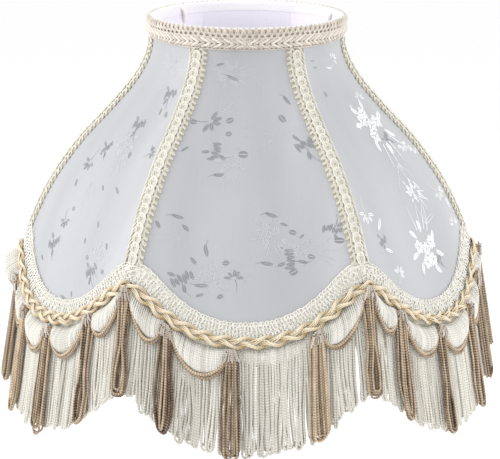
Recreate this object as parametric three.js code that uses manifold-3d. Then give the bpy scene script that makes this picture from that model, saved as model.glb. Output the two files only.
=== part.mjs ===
// A six-panel bell lamp shade: a welded wire frame with a drop-in washer spider, taut cloth
// panels outside and a lining inside, braid over every seam, and a swagged tassel fringe.
// Millimetres, +Z up. The origin is the middle of the underside of the spider's washer, on the
// shade's axis, and the first panel faces -Y. Azimuth is counted from -Y towards +X, and depth is
// counted down from the middle of the top ring's wire.
import * as THREE from "three";
import { LoftGeometry } from "three/addons/geometries/LoftGeometry.js";
import { mergeVertices } from "three/addons/utils/BufferGeometryUtils.js";
import Module from "manifold-3d";

// Wire frame
const panelCount = 6;
const wireRadius = 1.5;
const ringRadius = 75.2; // to the middle of the wire
const baseRadius = 175.6; // to the middle of the wire
const ribDepth = 181.5; // depth of the base wire at a rib, where it is highest
const scallopDrop = 43.5; // how far the base wire dips between two ribs
const scallopPower = 2.3; // higher is flatter in the middle and steeper at the ribs
const peakRounding = 0.075; // bend at a rib, as a share of half a panel
const ringBlend = 40; // depth over which the flat panels turn into the round ring
const baseBlend = 45; // and into the round base
// Rib outline from ring to base: share of the rib's depth, share of the flare
const ribShape = [
  [0, 0],
  [0.07, -0.015],
  [0.145, 0.003],
  [0.265, 0.112],
  [0.41, 0.332],
  [0.545, 0.558],
  [0.725, 0.789],
  [0.87, 0.919],
  [1, 1],
  [1.24, 1.054],
];

// Spider that carries the shade on a harp
const spiderDrop = 19; // from the ring down to the washer's underside
const washerRadius = 12.7;
const washerHoleRadius = 5.6;
const washerThickness = 1.6;
const armCount = 3;
const firstArmAzimuth = THREE.MathUtils.degToRad(-13);
const armInset = 6.7; // from the middle of the ring's wire in to the upright of an arm
const armBend = 4.5;

// Cloth, in layers counted out from the middle of the frame's wire
const clothThickness = 0.5;
const liningThickness = 0.4;
const tapeThickness = 0.4;
const layerGap = 0.4; // between neighbouring layers
const wireGap = 0.5; // between a wire and the cloth on it
const seamGap = 0.3; // between pieces that meet edge to edge
const hem = 1.8; // cloth that reaches past the base wire
const topEdge = 1; // depth of the cloth's top edge
const tapeLeg = 6; // binding tape that shows inside

// Braids
const ribBraidWidth = 15;
const ribBraidThickness = 2;
const rimBraidRise = 2.5; // above the middle of the ring's wire
const rimBraidReach = 15; // below it
const rimBraidThickness = 1.8;
const baseBraidWidth = 14;
const baseBraidThickness = 1.6;
const cordBraidWidth = 8;
const cordBraidThickness = 2;

// Fringe, hung from the base wire
const headerThickness = 0.8;
const headerHeight = 12;
const padBulge = 6.8;
const swagDepth = 14; // how far a pad reaches below the header
const skirtTop = 16;
const fringeLength = 85;
const skirtThickness = 3.5;
const skirtInset = 3; // from the base radius out to the skirt's inner face, at its top
const skirtFlare = 8; // how far the skirt stands out further at its lower end
const tasselTop = 6;
const tasselLength = 84;
const tasselHeadHalfWidth = 3.5;
const tasselEndHalfWidth = 7;
const tasselThickness = 6.4;
const swagCordRadius = 2;
// Where the tassels hang, as shares of a panel from its left rib, panel by panel
const tasselShares = [
  [0, 0.18, 0.44, 0.78],
  [0, 0.17, 0.43, 0.8],
  [0, 0.22, 0.5, 0.78],
  [0, 0.22, 0.5, 0.78],
  [0, 0.22, 0.5, 0.78],
  [0, 0.24, 0.56, 0.83],
];

// Mesh fineness
const columnShares = [-1, -0.9, -0.667, -0.333, 0, 0.333, 0.667, 0.9, 1];
const rowShares = [0.07, 0.145, 0.26, 0.4, 0.55, 0.71, 0.87];
const tubeSides = 6;
const armSides = 8;
const armSteps = 24;

const halfPanel = Math.PI / panelCount;
const panelLift = wireRadius + wireGap;
const panelOuterLift = panelLift + clothThickness;
const liningInnerLift = panelLift + liningThickness;
const tapeInnerLift = liningInnerLift + 2 * layerGap;
const ribBraidLift = panelOuterLift + 1.5 * layerGap;
const braidEndGap = 0.02 * ringRadius; // between a rib's braid and the base braid
const facetSag = baseRadius * (1 - Math.cos(halfPanel / 6)); // of the widest column of cloth
const padGap = 0.6 * facetSag; // between a pad and the fringe behind it
const edgeBraidLift = panelOuterLift + 1.65 * facetSag; // clears the folds of cloth at the wires
const cordBraidLift = edgeBraidLift + baseBraidThickness + layerGap;
const headerInset = 4.4; // from the base radius out to the header's inner face
const headerOuter = headerInset + headerThickness;

const ribCurve = new THREE.CubicInterpolant(
  ribShape.map(([down]) => down * ribDepth),
  ribShape.map(([, out]) => ringRadius + out * (baseRadius - ringRadius)),
  1,
);

// Radius of a rib at a depth; above the ring the wall goes straight up.
function ribRadius(depth) {
  return ribCurve.evaluate(Math.max(depth, 0))[0];
}

// Depth of the base wire: a rounded peak at each rib and lowest in the middle of a panel.
function baseDepth(angle) {
  const fromRib = 1 - Math.abs(angle) / halfPanel;
  const bent = Math.hypot(fromRib, peakRounding) - peakRounding;
  const most = Math.hypot(1, peakRounding) - peakRounding;
  return ribDepth + scallopDrop * (1 - Math.abs(1 - bent / most) ** scallopPower);
}

// Plan radius of a panel: a straight chord between its ribs, rounded out to the ring and the base.
function bellRadius(angle, depth) {
  const chord = Math.cos(halfPanel) / Math.cos(angle);
  const down = Math.max(depth, 0);
  const base = baseDepth(angle);
  const nearRing = Math.exp(-down / ringBlend) * (1 - down / base);
  const nearBase = Math.exp((down - base) / baseBlend) * (down / base);
  const round = ringRadius * (1 - chord) * nearRing;
  return ribRadius(down) * chord + round + (baseRadius - ribRadius(base) * chord) * nearBase;
}

function polar(radius, azimuth, depth) {
  return new THREE.Vector3(
    radius * Math.sin(azimuth),
    -radius * Math.cos(azimuth),
    spiderDrop - depth,
  );
}

function bellPoint(panel, angle, depth) {
  return polar(bellRadius(angle, depth), panel * 2 * halfPanel + angle, depth);
}

// A point lifted off the frame's surface along the panel's own normal. Towards a rib it turns into
// the mitre, so that the layers of two neighbouring panels meet on the rib.
function skin(panel, angle, depth, lift) {
  const step = 0.01;
  const turn = step / ringRadius;
  const across = bellPoint(panel, angle + turn, depth).sub(bellPoint(panel, angle - turn, depth));
  const down = bellPoint(panel, angle, depth + step).sub(bellPoint(panel, angle, depth - step));
  const normal = new THREE.Vector3().crossVectors(down, across).normalize();
  const rib = (panel * 2 + Math.sign(angle)) * halfPanel;
  const ribSide = new THREE.Vector3(Math.cos(rib), Math.sin(rib), 0);
  const mitre = normal.clone().addScaledVector(ribSide, -normal.dot(ribSide));
  mitre.divideScalar(mitre.lengthSq());
  normal.lerp(mitre, (Math.abs(angle) / halfPanel) ** 4);
  return bellPoint(panel, angle, depth).addScaledVector(normal, lift);
}

// A point beside the base wire: up is square to the wire's line on the wall.
function besideBase(panel, angle, up, lift) {
  const turn = 0.01 / baseRadius;
  const slope = (baseDepth(angle + turn) - baseDepth(angle - turn)) / (2 * turn * baseRadius);
  const length = Math.hypot(1, slope);
  const moved = angle + (up * slope) / length / baseRadius;
  return skin(panel, moved, baseDepth(angle) - up / length, lift);
}

// A point of the fringe: offset is measured out from the base radius, drop down from the wire.
function hanging(panel, angle, offset, drop) {
  const azimuth = panel * 2 * halfPanel + angle;
  return polar(baseRadius + offset, azimuth, baseDepth(angle) + drop);
}

// Sections follow one another anticlockwise round the shade, or down it.
function loft(sections, capped) {
  return new LoftGeometry(sections, { capStart: capped, capEnd: capped });
}

// A thin wall. The second half of a section runs back beside the first, and its quads are divided
// along the same diagonals, so that the two faces keep their distance where the wall is twisted.
function thinLoft(sections, capped) {
  const geometry = loft(sections, capped);
  const index = geometry.index;
  const columns = sections[0].length;
  for (let row = 0; row < sections.length - 1; row++) {
    for (let column = columns / 2; column < columns; column++) {
      const start = 6 * (row * columns + column);
      const [a, b, d] = [0, 1, 2].map((corner) => index.getX(start + corner));
      const c = index.getX(start + 4);
      [a, b, c, a, c, d].forEach((corner, place) => index.setX(start + place, corner));
    }
  }
  return geometry;
}

// A closed band round the whole shade. sectionAt gives the points of one cross-section.
function band(sectionAt, skinOver = loft) {
  const sections = [];
  for (let panel = 0; panel < panelCount; panel++)
    for (const share of columnShares.slice(0, -1))
      sections.push(sectionAt(panel, share * halfPanel));
  sections.push(sections[0]);
  return skinOver(sections, false);
}

function material(color, roughness, metalness = 0) {
  return new THREE.MeshStandardMaterial({ color, roughness, metalness });
}

// Frame

function topRing() {
  return new THREE.TorusGeometry(ringRadius, wireRadius, tubeSides, 48).translate(0, 0, spiderDrop);
}

function baseWire() {
  return band((panel, angle) => {
    const section = [];
    for (let side = 0; side < tubeSides; side++) {
      const turn = (2 * Math.PI * side) / tubeSides;
      const up = wireRadius * Math.sin(turn);
      section.push(besideBase(panel, angle, up, -wireRadius * Math.cos(turn)));
    }
    return section;
  });
}

function wireAlong(path, steps, sides, radius = wireRadius) {
  const section = new THREE.Shape().absarc(0, 0, radius, 0, 2 * Math.PI);
  return new THREE.ExtrudeGeometry(section, {
    extrudePath: path,
    steps,
    curveSegments: sides / 2,
  });
}

// A rib, from just under the ring to just over the base wire, bent where the cloth's rows are.
function ribWire(rib) {
  const azimuth = (2 * rib + 1) * halfPanel;
  const side = new THREE.Vector3(Math.cos(azimuth), Math.sin(azimuth), 0);
  const end = wireRadius + seamGap;
  const depths = [end, ...rowShares.map((row) => row * ribDepth), ribDepth - end];
  const points = depths.map((depth) => bellPoint(rib, halfPanel, depth));
  const sections = points.map((point, row) => {
    const above = points[Math.max(row - 1, 0)];
    const below = points[Math.min(row + 1, points.length - 1)];
    const out = below.clone().sub(above).normalize().cross(side);
    const section = [];
    for (let corner = 0; corner < tubeSides; corner++) {
      const turn = (2 * Math.PI * corner) / tubeSides;
      const across = point.clone().addScaledVector(side, wireRadius * Math.cos(turn));
      section.push(across.addScaledVector(out, wireRadius * Math.sin(turn)));
    }
    return section;
  });
  return loft(sections, true);
}

function spiderWasher() {
  const profile = [
    new THREE.Vector2(washerHoleRadius, 0),
    new THREE.Vector2(washerRadius, 0),
    new THREE.Vector2(washerRadius, washerThickness),
    new THREE.Vector2(washerHoleRadius, washerThickness),
    new THREE.Vector2(washerHoleRadius, 0),
  ];
  return new THREE.LatheGeometry(profile, 36).rotateX(Math.PI / 2);
}

function armAzimuth(arm) {
  return firstArmAzimuth + (2 * Math.PI * arm) / armCount;
}

// Flat out from the washer, up beside the lining, and out again to its weld on the ring.
function armPath(arm) {
  const azimuth = firstArmAzimuth + (2 * Math.PI * arm) / armCount;
  const at = (radius, depth) => polar(radius, azimuth, depth);
  const low = spiderDrop - washerThickness / 2;
  const upright = ringRadius - armInset;
  const weld = ringRadius - wireRadius - seamGap;
  const path = new THREE.CurvePath();
  path.add(new THREE.LineCurve3(at(washerRadius + seamGap, low), at(upright - armBend, low)));
  path.add(
    new THREE.QuadraticBezierCurve3(
      at(upright - armBend, low),
      at(upright, low),
      at(upright, low - armBend),
    ),
  );
  path.add(new THREE.LineCurve3(at(upright, low - armBend), at(upright, armBend)));
  path.add(new THREE.QuadraticBezierCurve3(at(upright, armBend), at(upright, 0), at(weld, 0)));
  return path;
}

function spiderArm(arm) {
  return wireAlong(armPath(arm), armSteps, armSides);
}

// The way an arm takes through the tape and the lining, with room round it.
function armPassage(arm) {
  return wireAlong(armPath(arm), armSteps, armSides, wireRadius + seamGap);
}

// Cloth

// A panel of cloth between two lifts, from the top edge down past the base wire.
function clothPanel(panel, innerLift, outerLift) {
  const sections = columnShares.map((share) => {
    const edge = Math.abs(share) === 1 ? Math.sign(share) * seamGap * 0.5 : 0;
    const column = (depth) => share * halfPanel - edge / bellRadius(halfPanel, depth);
    const base = baseDepth(share * halfPanel);
    const depths = [topEdge, ...rowShares.map((row) => row * base), base, base + hem];
    const outer = depths.map((depth) => skin(panel, column(depth), depth, outerLift));
    const inner = depths.map((depth) => skin(panel, column(depth), depth, innerLift));
    return [...outer, ...inner.reverse()];
  });
  return thinLoft(sections, true);
}

function outerPanel(panel) {
  return clothPanel(panel, panelLift, panelOuterLift);
}

function liningPanel(panel) {
  return clothPanel(panel, -liningInnerLift, -panelLift);
}

// Binding tape over the ring: across the top and down inside the lining.
function rimTape() {
  const over = wireRadius + wireGap;
  const outer = edgeBraidLift - layerGap;
  const sectionAt = (panel, angle) => [
    skin(panel, angle, -over - tapeThickness, outer),
    skin(panel, angle, -over, outer),
    skin(panel, angle, -over, -tapeInnerLift),
    skin(panel, angle, tapeLeg, -tapeInnerLift),
    skin(panel, angle, tapeLeg, -tapeInnerLift - tapeThickness),
    skin(panel, angle, -over - tapeThickness, -tapeInnerLift - tapeThickness),
  ];
  return band(sectionAt, thinLoft);
}

// Binding tape under the base wire: across the hem and up inside the lining.
function baseTape() {
  const under = -hem - layerGap;
  const sectionAt = (panel, angle) => [
    besideBase(panel, angle, under, panelOuterLift),
    besideBase(panel, angle, under - tapeThickness, panelOuterLift),
    besideBase(panel, angle, under - tapeThickness, -tapeInnerLift - tapeThickness),
    besideBase(panel, angle, tapeLeg, -tapeInnerLift - tapeThickness),
    besideBase(panel, angle, tapeLeg, -tapeInnerLift),
    besideBase(panel, angle, under, -tapeInnerLift),
  ];
  return band(sectionAt, thinLoft);
}

// Braids

// Braid glued down one rib, between the rim braid and the base braid.
function ribBraid(rib) {
  const top = (rimBraidReach + 2 * seamGap) / ribDepth;
  const bottom = 1 - (baseBraidWidth + braidEndGap) / ribDepth;
  const rows = [top, ...rowShares.filter((row) => row > top && row < bottom), bottom];
  const sections = rows.map((row) => {
    const half = ribBraidWidth / 2 / ribRadius(row * ribDepth);
    const line = (lift) => [
      skin(rib + 1, half - halfPanel, row * baseDepth(half - halfPanel), lift),
      skin(rib, halfPanel, row * ribDepth, lift),
      skin(rib, halfPanel - half, row * baseDepth(halfPanel - half), lift),
    ];
    return [...line(ribBraidLift + ribBraidThickness), ...line(ribBraidLift).reverse()];
  });
  return loft(sections, true);
}

function rimBraid() {
  const depths = [-rimBraidRise, rimBraidReach * 0.4, rimBraidReach];
  const outerLift = edgeBraidLift + rimBraidThickness;
  return band((panel, angle) => {
    const outer = depths.map((depth) => skin(panel, angle, depth, outerLift));
    const inner = depths.map((depth) => skin(panel, angle, depth, edgeBraidLift));
    return [...outer, ...inner.reverse()];
  });
}

// A braid laid along the base wire, between two heights beside it.
function braidAlongBase(top, bottom, lift, thickness) {
  const ups = [top, (top + bottom) / 2, bottom];
  return band((panel, angle) => {
    const outer = ups.map((up) => besideBase(panel, angle, up, lift + thickness));
    const inner = ups.map((up) => besideBase(panel, angle, up, lift));
    return [...outer, ...inner.reverse()];
  });
}

function baseBraid() {
  return braidAlongBase(baseBraidWidth, 2 * seamGap, edgeBraidLift, baseBraidThickness);
}

function cordBraid() {
  const half = cordBraidWidth / 2;
  return braidAlongBase(half, -half, cordBraidLift, cordBraidThickness);
}

// Fringe

function skirtOffset(drop) {
  return skirtInset + (skirtFlare * (drop - skirtTop)) / (fringeLength - skirtTop);
}

function skirtOuterOffset(drop) {
  return skirtOffset(drop) + skirtThickness;
}

// The strands of one panel's fringe, as one curtain.
function fringeSkirt(panel) {
  const drops = [skirtTop, 0.5 * (skirtTop + fringeLength), fringeLength];
  const sections = columnShares.map((share) => {
    const edge = Math.abs(share) === 1 ? Math.sign(share) * seamGap * 0.5 : 0;
    const angle = share * halfPanel - edge / baseRadius;
    const outer = drops.map((drop) => hanging(panel, angle, skirtOuterOffset(drop), drop));
    const inner = drops.map((drop) => hanging(panel, angle, skirtOffset(drop), drop));
    return [...outer, ...inner.reverse()];
  });
  return loft(sections, true);
}

// Bays between one tassel and the next: angles of both, and of the pad's two ends.
function bays(panel) {
  const shares = [...tasselShares[panel % tasselShares.length], 1];
  const padStart = (tasselHeadHalfWidth + 2 * seamGap) / baseRadius;
  return shares.slice(0, -1).map((share, bay) => {
    const from = (2 * share - 1) * halfPanel;
    const to = (2 * shares[bay + 1] - 1) * halfPanel;
    return { from, to, padFrom: from + padStart, padTo: to - padStart };
  });
}

// How far a pad's edge hangs below the header at an angle inside a bay: a shallow arc.
function swagAt(bay, angle) {
  const along = (angle - bay.padFrom) / (bay.padTo - bay.padFrom);
  return along > 0 && along < 1 ? swagDepth * 4 * along * (1 - along) : 0;
}

// The woven header and its padded swags, in one piece for each panel.
function fringeHeader(panel) {
  const rise = 2.5 / baseRadius; // a pad reaches its full thickness this far from its end
  const edge = (seamGap * 0.5) / baseRadius;
  const sections = [];
  const addSection = (bay, angle, full) => {
    const low = headerHeight + swagAt(bay, angle);
    const inner = headerInset + full * (skirtOuterOffset(low) + padGap - headerInset);
    const shoulder = headerInset + full * (skirtOuterOffset(skirtTop) + padGap - headerInset);
    const at = (offset, drop) => hanging(panel, angle, offset, drop);
    sections.push([
      at(headerOuter, 0),
      at(headerOuter, headerHeight * 0.3),
      at(headerOuter + full * padBulge, headerHeight * 0.75),
      at(headerOuter + full * padBulge * 0.9, low),
      at(inner, low),
      at(shoulder, headerHeight - 1 + 2.5 * full),
      at(headerInset, headerHeight - 2),
      at(headerInset, 0),
    ]);
  };
  for (const bay of bays(panel)) {
    const first = bay.from === -halfPanel;
    addSection(bay, bay.from + (first ? edge : 0), 0);
    addSection(bay, bay.padFrom, 0);
    addSection(bay, bay.padFrom + rise, 1);
    addSection(bay, (bay.padFrom + bay.padTo) / 2, 1);
    addSection(bay, bay.padTo - rise, 1);
    addSection(bay, bay.padTo, 0);
    if (bay.to === halfPanel) addSection(bay, bay.to - edge, 0);
  }
  return loft(sections, true);
}

function tassel(panel, angle) {
  const drops = [tasselTop, headerHeight, 2 * headerHeight, tasselLength];
  const sections = drops.map((drop) => {
    const along = Math.max(drop - 2 * headerHeight, 0) / (tasselLength - 2 * headerHeight);
    const half = THREE.MathUtils.lerp(tasselHeadHalfWidth, tasselEndHalfWidth, along);
    const inner = Math.max(headerOuter, skirtOuterOffset(drop)) + layerGap;
    const middle = hanging(panel, angle, inner, drop);
    const azimuth = panel * 2 * halfPanel + angle;
    const out = new THREE.Vector3(Math.sin(azimuth), -Math.cos(azimuth), 0);
    const side = new THREE.Vector3(Math.cos(azimuth), Math.sin(azimuth), 0);
    const at = (across, outward) =>
      middle.clone().addScaledVector(side, across * half).addScaledVector(out, outward);
    return [
      at(1, tasselThickness / 2),
      at(0.6, tasselThickness),
      at(-0.6, tasselThickness),
      at(-1, tasselThickness / 2),
      at(-0.6, 0),
      at(0.6, 0),
    ];
  });
  return loft(sections, true);
}

// The cord that hangs under a pad from one tassel to the next.
function swagCord(panel, bay, last) {
  const inTassel = tasselHeadHalfWidth / 2 / baseRadius;
  const clear = (tasselHeadHalfWidth + layerGap) / baseRadius;
  const from = bay.from + inTassel;
  const to = bay.to - (last ? clear : inTassel);
  const edgeDepth = (angle) => baseDepth(angle) + headerHeight + swagAt(bay, angle);
  const sections = [0, 0.14, 0.5, 0.86, 1].map((share) => {
    const angle = THREE.MathUtils.lerp(from, to, share);
    const turn = 1 / baseRadius;
    const slope = (edgeDepth(angle + turn) - edgeDepth(angle - turn)) / 2;
    const stretch = Math.min(Math.hypot(1, slope), 2);
    const below = swagAt(bay, angle) + (swagCordRadius + 2 * seamGap) * stretch;
    const drop = headerHeight + below;
    const offset = skirtOuterOffset(drop + swagCordRadius) + layerGap + swagCordRadius;
    const section = [];
    for (let side = 0; side < tubeSides; side++) {
      const around = (2 * Math.PI * side) / tubeSides;
      const rise = swagCordRadius * stretch * Math.sin(around);
      const inwards = swagCordRadius * Math.cos(around);
      section.push(hanging(panel, angle, offset - inwards, drop - rise));
    }
    return section;
  });
  return loft(sections, true);
}

// Solids

const wasm = await Module();
wasm.setup();

function bare(geometry) {
  const positions = new THREE.BufferGeometry();
  positions.setAttribute("position", geometry.getAttribute("position"));
  positions.setIndex(geometry.index);
  return mergeVertices(positions, 1e-3);
}

function toSolid(geometry) {
  const merged = bare(geometry);
  return new wasm.Manifold(
    new wasm.Mesh({
      numProp: 3,
      vertProperties: merged.attributes.position.array,
      triVerts: new Uint32Array(merged.index.array),
    }),
  );
}

function fromSolid(solid) {
  const mesh = solid.getMesh();
  const geometry = new THREE.BufferGeometry();
  geometry.setAttribute("position", new THREE.BufferAttribute(mesh.vertProperties, 3));
  geometry.setIndex(new THREE.BufferAttribute(mesh.triVerts, 1));
  geometry.computeVertexNormals();
  return geometry;
}

function withArmPassages(geometry) {
  let solid = toSolid(geometry);
  for (let arm = 0; arm < armCount; arm++) solid = solid.subtract(toSolid(armPassage(arm)));
  return fromSolid(solid);
}

// The tassels of one panel and the cords swagged between them.
function tasselSwag(panel) {
  const pieces = [];
  const list = bays(panel);
  list.forEach((bay, index) => {
    pieces.push(toSolid(tassel(panel, bay.from)));
    pieces.push(toSolid(swagCord(panel, bay, index === list.length - 1)));
  });
  return fromSolid(pieces.reduce((joined, piece) => joined.add(piece)));
}

// Assembly

const group = new THREE.Group();

function addPiece(name, geometry, finish) {
  const mesh = new THREE.Mesh(geometry, finish);
  mesh.name = name;
  group.add(mesh);
}

const platedSteel = material(0xc9c7c2, 0.35, 0.9);
const whiteWire = material(0xf1f0ee, 0.45);
const jacquard = material(0xd9dadf, 0.5);
const liningCloth = material(0xe6e3f0, 0.8);
const bindingTape = material(0xf2f0ee, 0.85);
const creamBraid = material(0xece7d9, 0.75);
const goldBraid = material(0xe8d3a4, 0.6);
const ivoryFringe = material(0xe3e0d4, 0.7);
const taupeFringe = material(0x9b7a5c, 0.65);

addPiece("top_ring", topRing(), whiteWire);
addPiece("base_wire", baseWire(), whiteWire);
addPiece("spider_washer", spiderWasher(), platedSteel);
addPiece("rim_tape", withArmPassages(rimTape()), bindingTape);
addPiece("base_tape", baseTape(), bindingTape);
addPiece("rim_braid", rimBraid(), creamBraid);
addPiece("base_braid", baseBraid(), creamBraid);
addPiece("cord_braid", cordBraid(), goldBraid);
for (let arm = 0; arm < armCount; arm++)
  addPiece(`spider_arm_${arm + 1}`, spiderArm(arm), whiteWire);
for (let panel = 0; panel < panelCount; panel++) {
  const number = panel + 1;
  addPiece(`rib_wire_${number}`, ribWire(panel), whiteWire);
  addPiece(`outer_panel_${number}`, outerPanel(panel), jacquard);
  addPiece(`lining_panel_${number}`, withArmPassages(liningPanel(panel)), liningCloth);
  addPiece(`rib_braid_${number}`, ribBraid(panel), creamBraid);
  addPiece(`fringe_header_${number}`, fringeHeader(panel), ivoryFringe);
  addPiece(`fringe_skirt_${number}`, fringeSkirt(panel), ivoryFringe);
  addPiece(`tassel_swag_${number}`, tasselSwag(panel), taupeFringe);
}

export default group;
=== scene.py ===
# A six-panel bell lamp shade in white satin jacquard, with looped gimp over its seams and a
# swagged chainette fringe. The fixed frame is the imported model. All of it rides on one body.
import bpy
import math
import numpy as np
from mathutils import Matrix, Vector


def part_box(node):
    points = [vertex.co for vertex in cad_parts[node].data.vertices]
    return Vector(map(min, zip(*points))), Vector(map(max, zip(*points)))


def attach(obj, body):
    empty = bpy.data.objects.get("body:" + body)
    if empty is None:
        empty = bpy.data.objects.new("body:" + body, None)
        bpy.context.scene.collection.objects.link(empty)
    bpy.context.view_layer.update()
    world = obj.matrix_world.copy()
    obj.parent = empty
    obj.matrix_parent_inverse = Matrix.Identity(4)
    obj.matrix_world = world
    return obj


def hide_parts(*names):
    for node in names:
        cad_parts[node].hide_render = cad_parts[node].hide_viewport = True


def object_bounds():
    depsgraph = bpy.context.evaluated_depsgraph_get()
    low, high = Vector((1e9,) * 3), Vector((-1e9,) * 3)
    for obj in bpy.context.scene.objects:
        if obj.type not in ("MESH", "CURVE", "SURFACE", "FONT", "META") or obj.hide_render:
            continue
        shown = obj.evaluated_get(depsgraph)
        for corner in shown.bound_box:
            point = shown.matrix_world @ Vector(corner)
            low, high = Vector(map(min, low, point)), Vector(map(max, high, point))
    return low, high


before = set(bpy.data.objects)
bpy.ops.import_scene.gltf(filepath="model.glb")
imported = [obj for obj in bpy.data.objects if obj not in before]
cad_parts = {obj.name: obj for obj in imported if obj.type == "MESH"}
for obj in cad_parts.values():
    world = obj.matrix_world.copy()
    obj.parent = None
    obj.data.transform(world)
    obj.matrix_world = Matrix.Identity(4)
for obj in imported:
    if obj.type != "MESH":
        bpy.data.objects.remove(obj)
cad_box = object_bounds()
bpy.ops.object.select_all(action="DESELECT")


# ---------------------------------------------------------------- Camera
# A long lens a little above the shade's middle, square to the front panel.
# It looks at the shade's axis, and only a small sideways shift centres the fringe.
CAMERA_DISTANCE = 2.72
CAMERA_RISE = math.radians(12)
LENS = 242.4
FRINGE_SHIFT = 0.0064
view_centre = Vector((0, 0, -0.1545))
view_from = Vector((0, -math.cos(CAMERA_RISE), math.sin(CAMERA_RISE)))
bpy.ops.object.camera_add(location=view_centre + CAMERA_DISTANCE * view_from)
camera = bpy.context.object
camera.name = "camera"
camera.rotation_euler = view_from.to_track_quat("Z", "Y").to_euler()
camera.data.lens = LENS
camera.data.sensor_width = 36
camera.data.shift_x = FRINGE_SHIFT
camera.data.clip_end = 50
bpy.context.scene.camera = camera
bpy.context.scene.view_settings.view_transform = "Standard"


# ---------------------------------------------------------------- Studio
# A matt white floor well below the shade, as if it hung on its lamp, and a white room all
# round. Soft boxes stand far out on the left, weaker on the right, and high up behind.
def linear(code):
    """An sRGB hex colour as linear RGBA."""
    parts = [int(code[i : i + 2], 16) / 255 for i in (0, 2, 4)]
    return [c / 12.92 if c <= 0.04045 else ((c + 0.055) / 1.055) ** 2.4 for c in parts] + [1.0]


def add_node(tree, kind, values=None, **settings):
    """A node with its settings. values holds its inputs: a socket is linked, the rest is set."""
    node = tree.nodes.new(kind)
    for name, value in settings.items():
        setattr(node, name, value)
    for name, value in (values or {}).items():
        if isinstance(value, bpy.types.NodeSocket):
            tree.links.new(value, node.inputs[name])
        else:
            node.inputs[name].default_value = value
    return node


def new_material(name, **finish):
    """A material with a Principled shader of this finish, its node tree and the shader."""
    material = bpy.data.materials.new(name)
    material.use_nodes = True
    shader = material.node_tree.nodes["Principled BSDF"]
    for part, value in finish.items():
        shader.inputs[part.replace("_", " ")].default_value = value
    return material, material.node_tree, shader


# Uncoated paper is matt, with clouds of pulp some 25 mm across that hardly show.
floor_paper, tree, shader = new_material("matt white paper", Roughness=0.9,
                                         Specular_IOR_Level=0.1)
spot = add_node(tree, "ShaderNodeTexCoord")
grain = add_node(tree, "ShaderNodeTexNoise", {"Vector": spot.outputs["Object"], "Scale": 40.0,
                                              "Detail": 4.0})
tone = add_node(tree, "ShaderNodeMix", {"Factor": grain.outputs["Fac"]}, data_type="RGBA")
tone.inputs["A"].default_value = linear("FBFBFB")
tone.inputs["B"].default_value = linear("FFFFFF")
tree.links.new(tone.outputs["Result"], shader.inputs["Base Color"])

FLOOR_GAP = 0.5
FLOOR_RADIUS = 16
bpy.ops.mesh.primitive_circle_add(vertices=96, radius=FLOOR_RADIUS, fill_type="NGON",
                                  location=(0, 0, cad_box[0][2] - FLOOR_GAP))
floor = bpy.context.object
floor.name = "floor"
floor.data.materials.append(floor_paper)

room = bpy.data.worlds.new("white room")
room.use_nodes = True
walls = room.node_tree.nodes["Background"]
walls.inputs["Color"].default_value = linear("FFFFFF")
walls.inputs["Strength"].default_value = 0.99
bpy.context.scene.world = room

for name, place, size, power in (
    ("key softbox", (-2.4, -0.4, 1.0), 1.4, 35),
    ("fill softbox", (2.4, -0.4, 0.8), 1.2, 20),
    ("back softbox", (0.3, 2.2, 1.6), 1.4, 10),
):
    bpy.ops.object.light_add(type="AREA", location=place)
    lamp = bpy.context.object
    lamp.name = name
    lamp.rotation_euler = (Vector(place) - view_centre).to_track_quat("Z", "Y").to_euler()
    lamp.data.size = size
    lamp.data.energy = power


# ---------------------------------------------------------------- Wire frame
# Round steel wire, welded and dipped in white enamel, wholly wrapped by cloth and tape. The
# ring, the ribs and the scalloped base wire keep their own solids under a glossy enamel.
def pattern(tree, shader, share, dark, light, height, strength, distance, under=None):
    """Gives a surface its pattern: two tones mixed by a share, and relief from a height, up
    to a distance in metres, over any broader relief under it."""
    tone = add_node(tree, "ShaderNodeMix", {"Factor": share}, data_type="RGBA")
    tone.inputs["A"].default_value = linear(dark)
    tone.inputs["B"].default_value = linear(light)
    relief = add_node(tree, "ShaderNodeBump", {"Height": height, "Strength": strength,
                                               "Distance": distance})
    if under is not None:
        tree.links.new(under, relief.inputs["Normal"])
    tree.links.new(tone.outputs["Result"], shader.inputs["Base Color"])
    tree.links.new(relief.outputs["Normal"], shader.inputs["Normal"])


# Dipped enamel is glossy and slightly uneven, with runs about 4 mm long.
enamel, tree, shader = new_material("white enamel", Roughness=0.32, Coat_Weight=0.3)
spot = add_node(tree, "ShaderNodeTexCoord")
runs = add_node(tree, "ShaderNodeTexNoise", {"Vector": spot.outputs["Object"], "Scale": 260.0,
                                             "Detail": 3.0})
pattern(tree, shader, runs.outputs["Fac"], "E6E4E0", "F5F4F1", runs.outputs["Fac"], 0.25,
        0.0002)
wires = ["top_ring", "base_wire"] + [f"rib_wire_{rib + 1}" for rib in range(6)]
for name in wires:
    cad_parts[name].data.materials.clear()
    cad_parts[name].data.materials.append(enamel)


# ---------------------------------------------------------------- Spider
# Three enamelled wires that run flat out from a washer, up beside the lining and out to the
# ring. The washer is pressed steel with a dull nickel plate and rolled edges.
MM = 0.001
WIRE_RADIUS = 1.5
washer_low, washer_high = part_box("spider_washer")
washer_radius = washer_high[0]
washer_thickness = washer_high[2] - washer_low[2]
washer_hole_radius = 5.6 * MM

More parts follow.
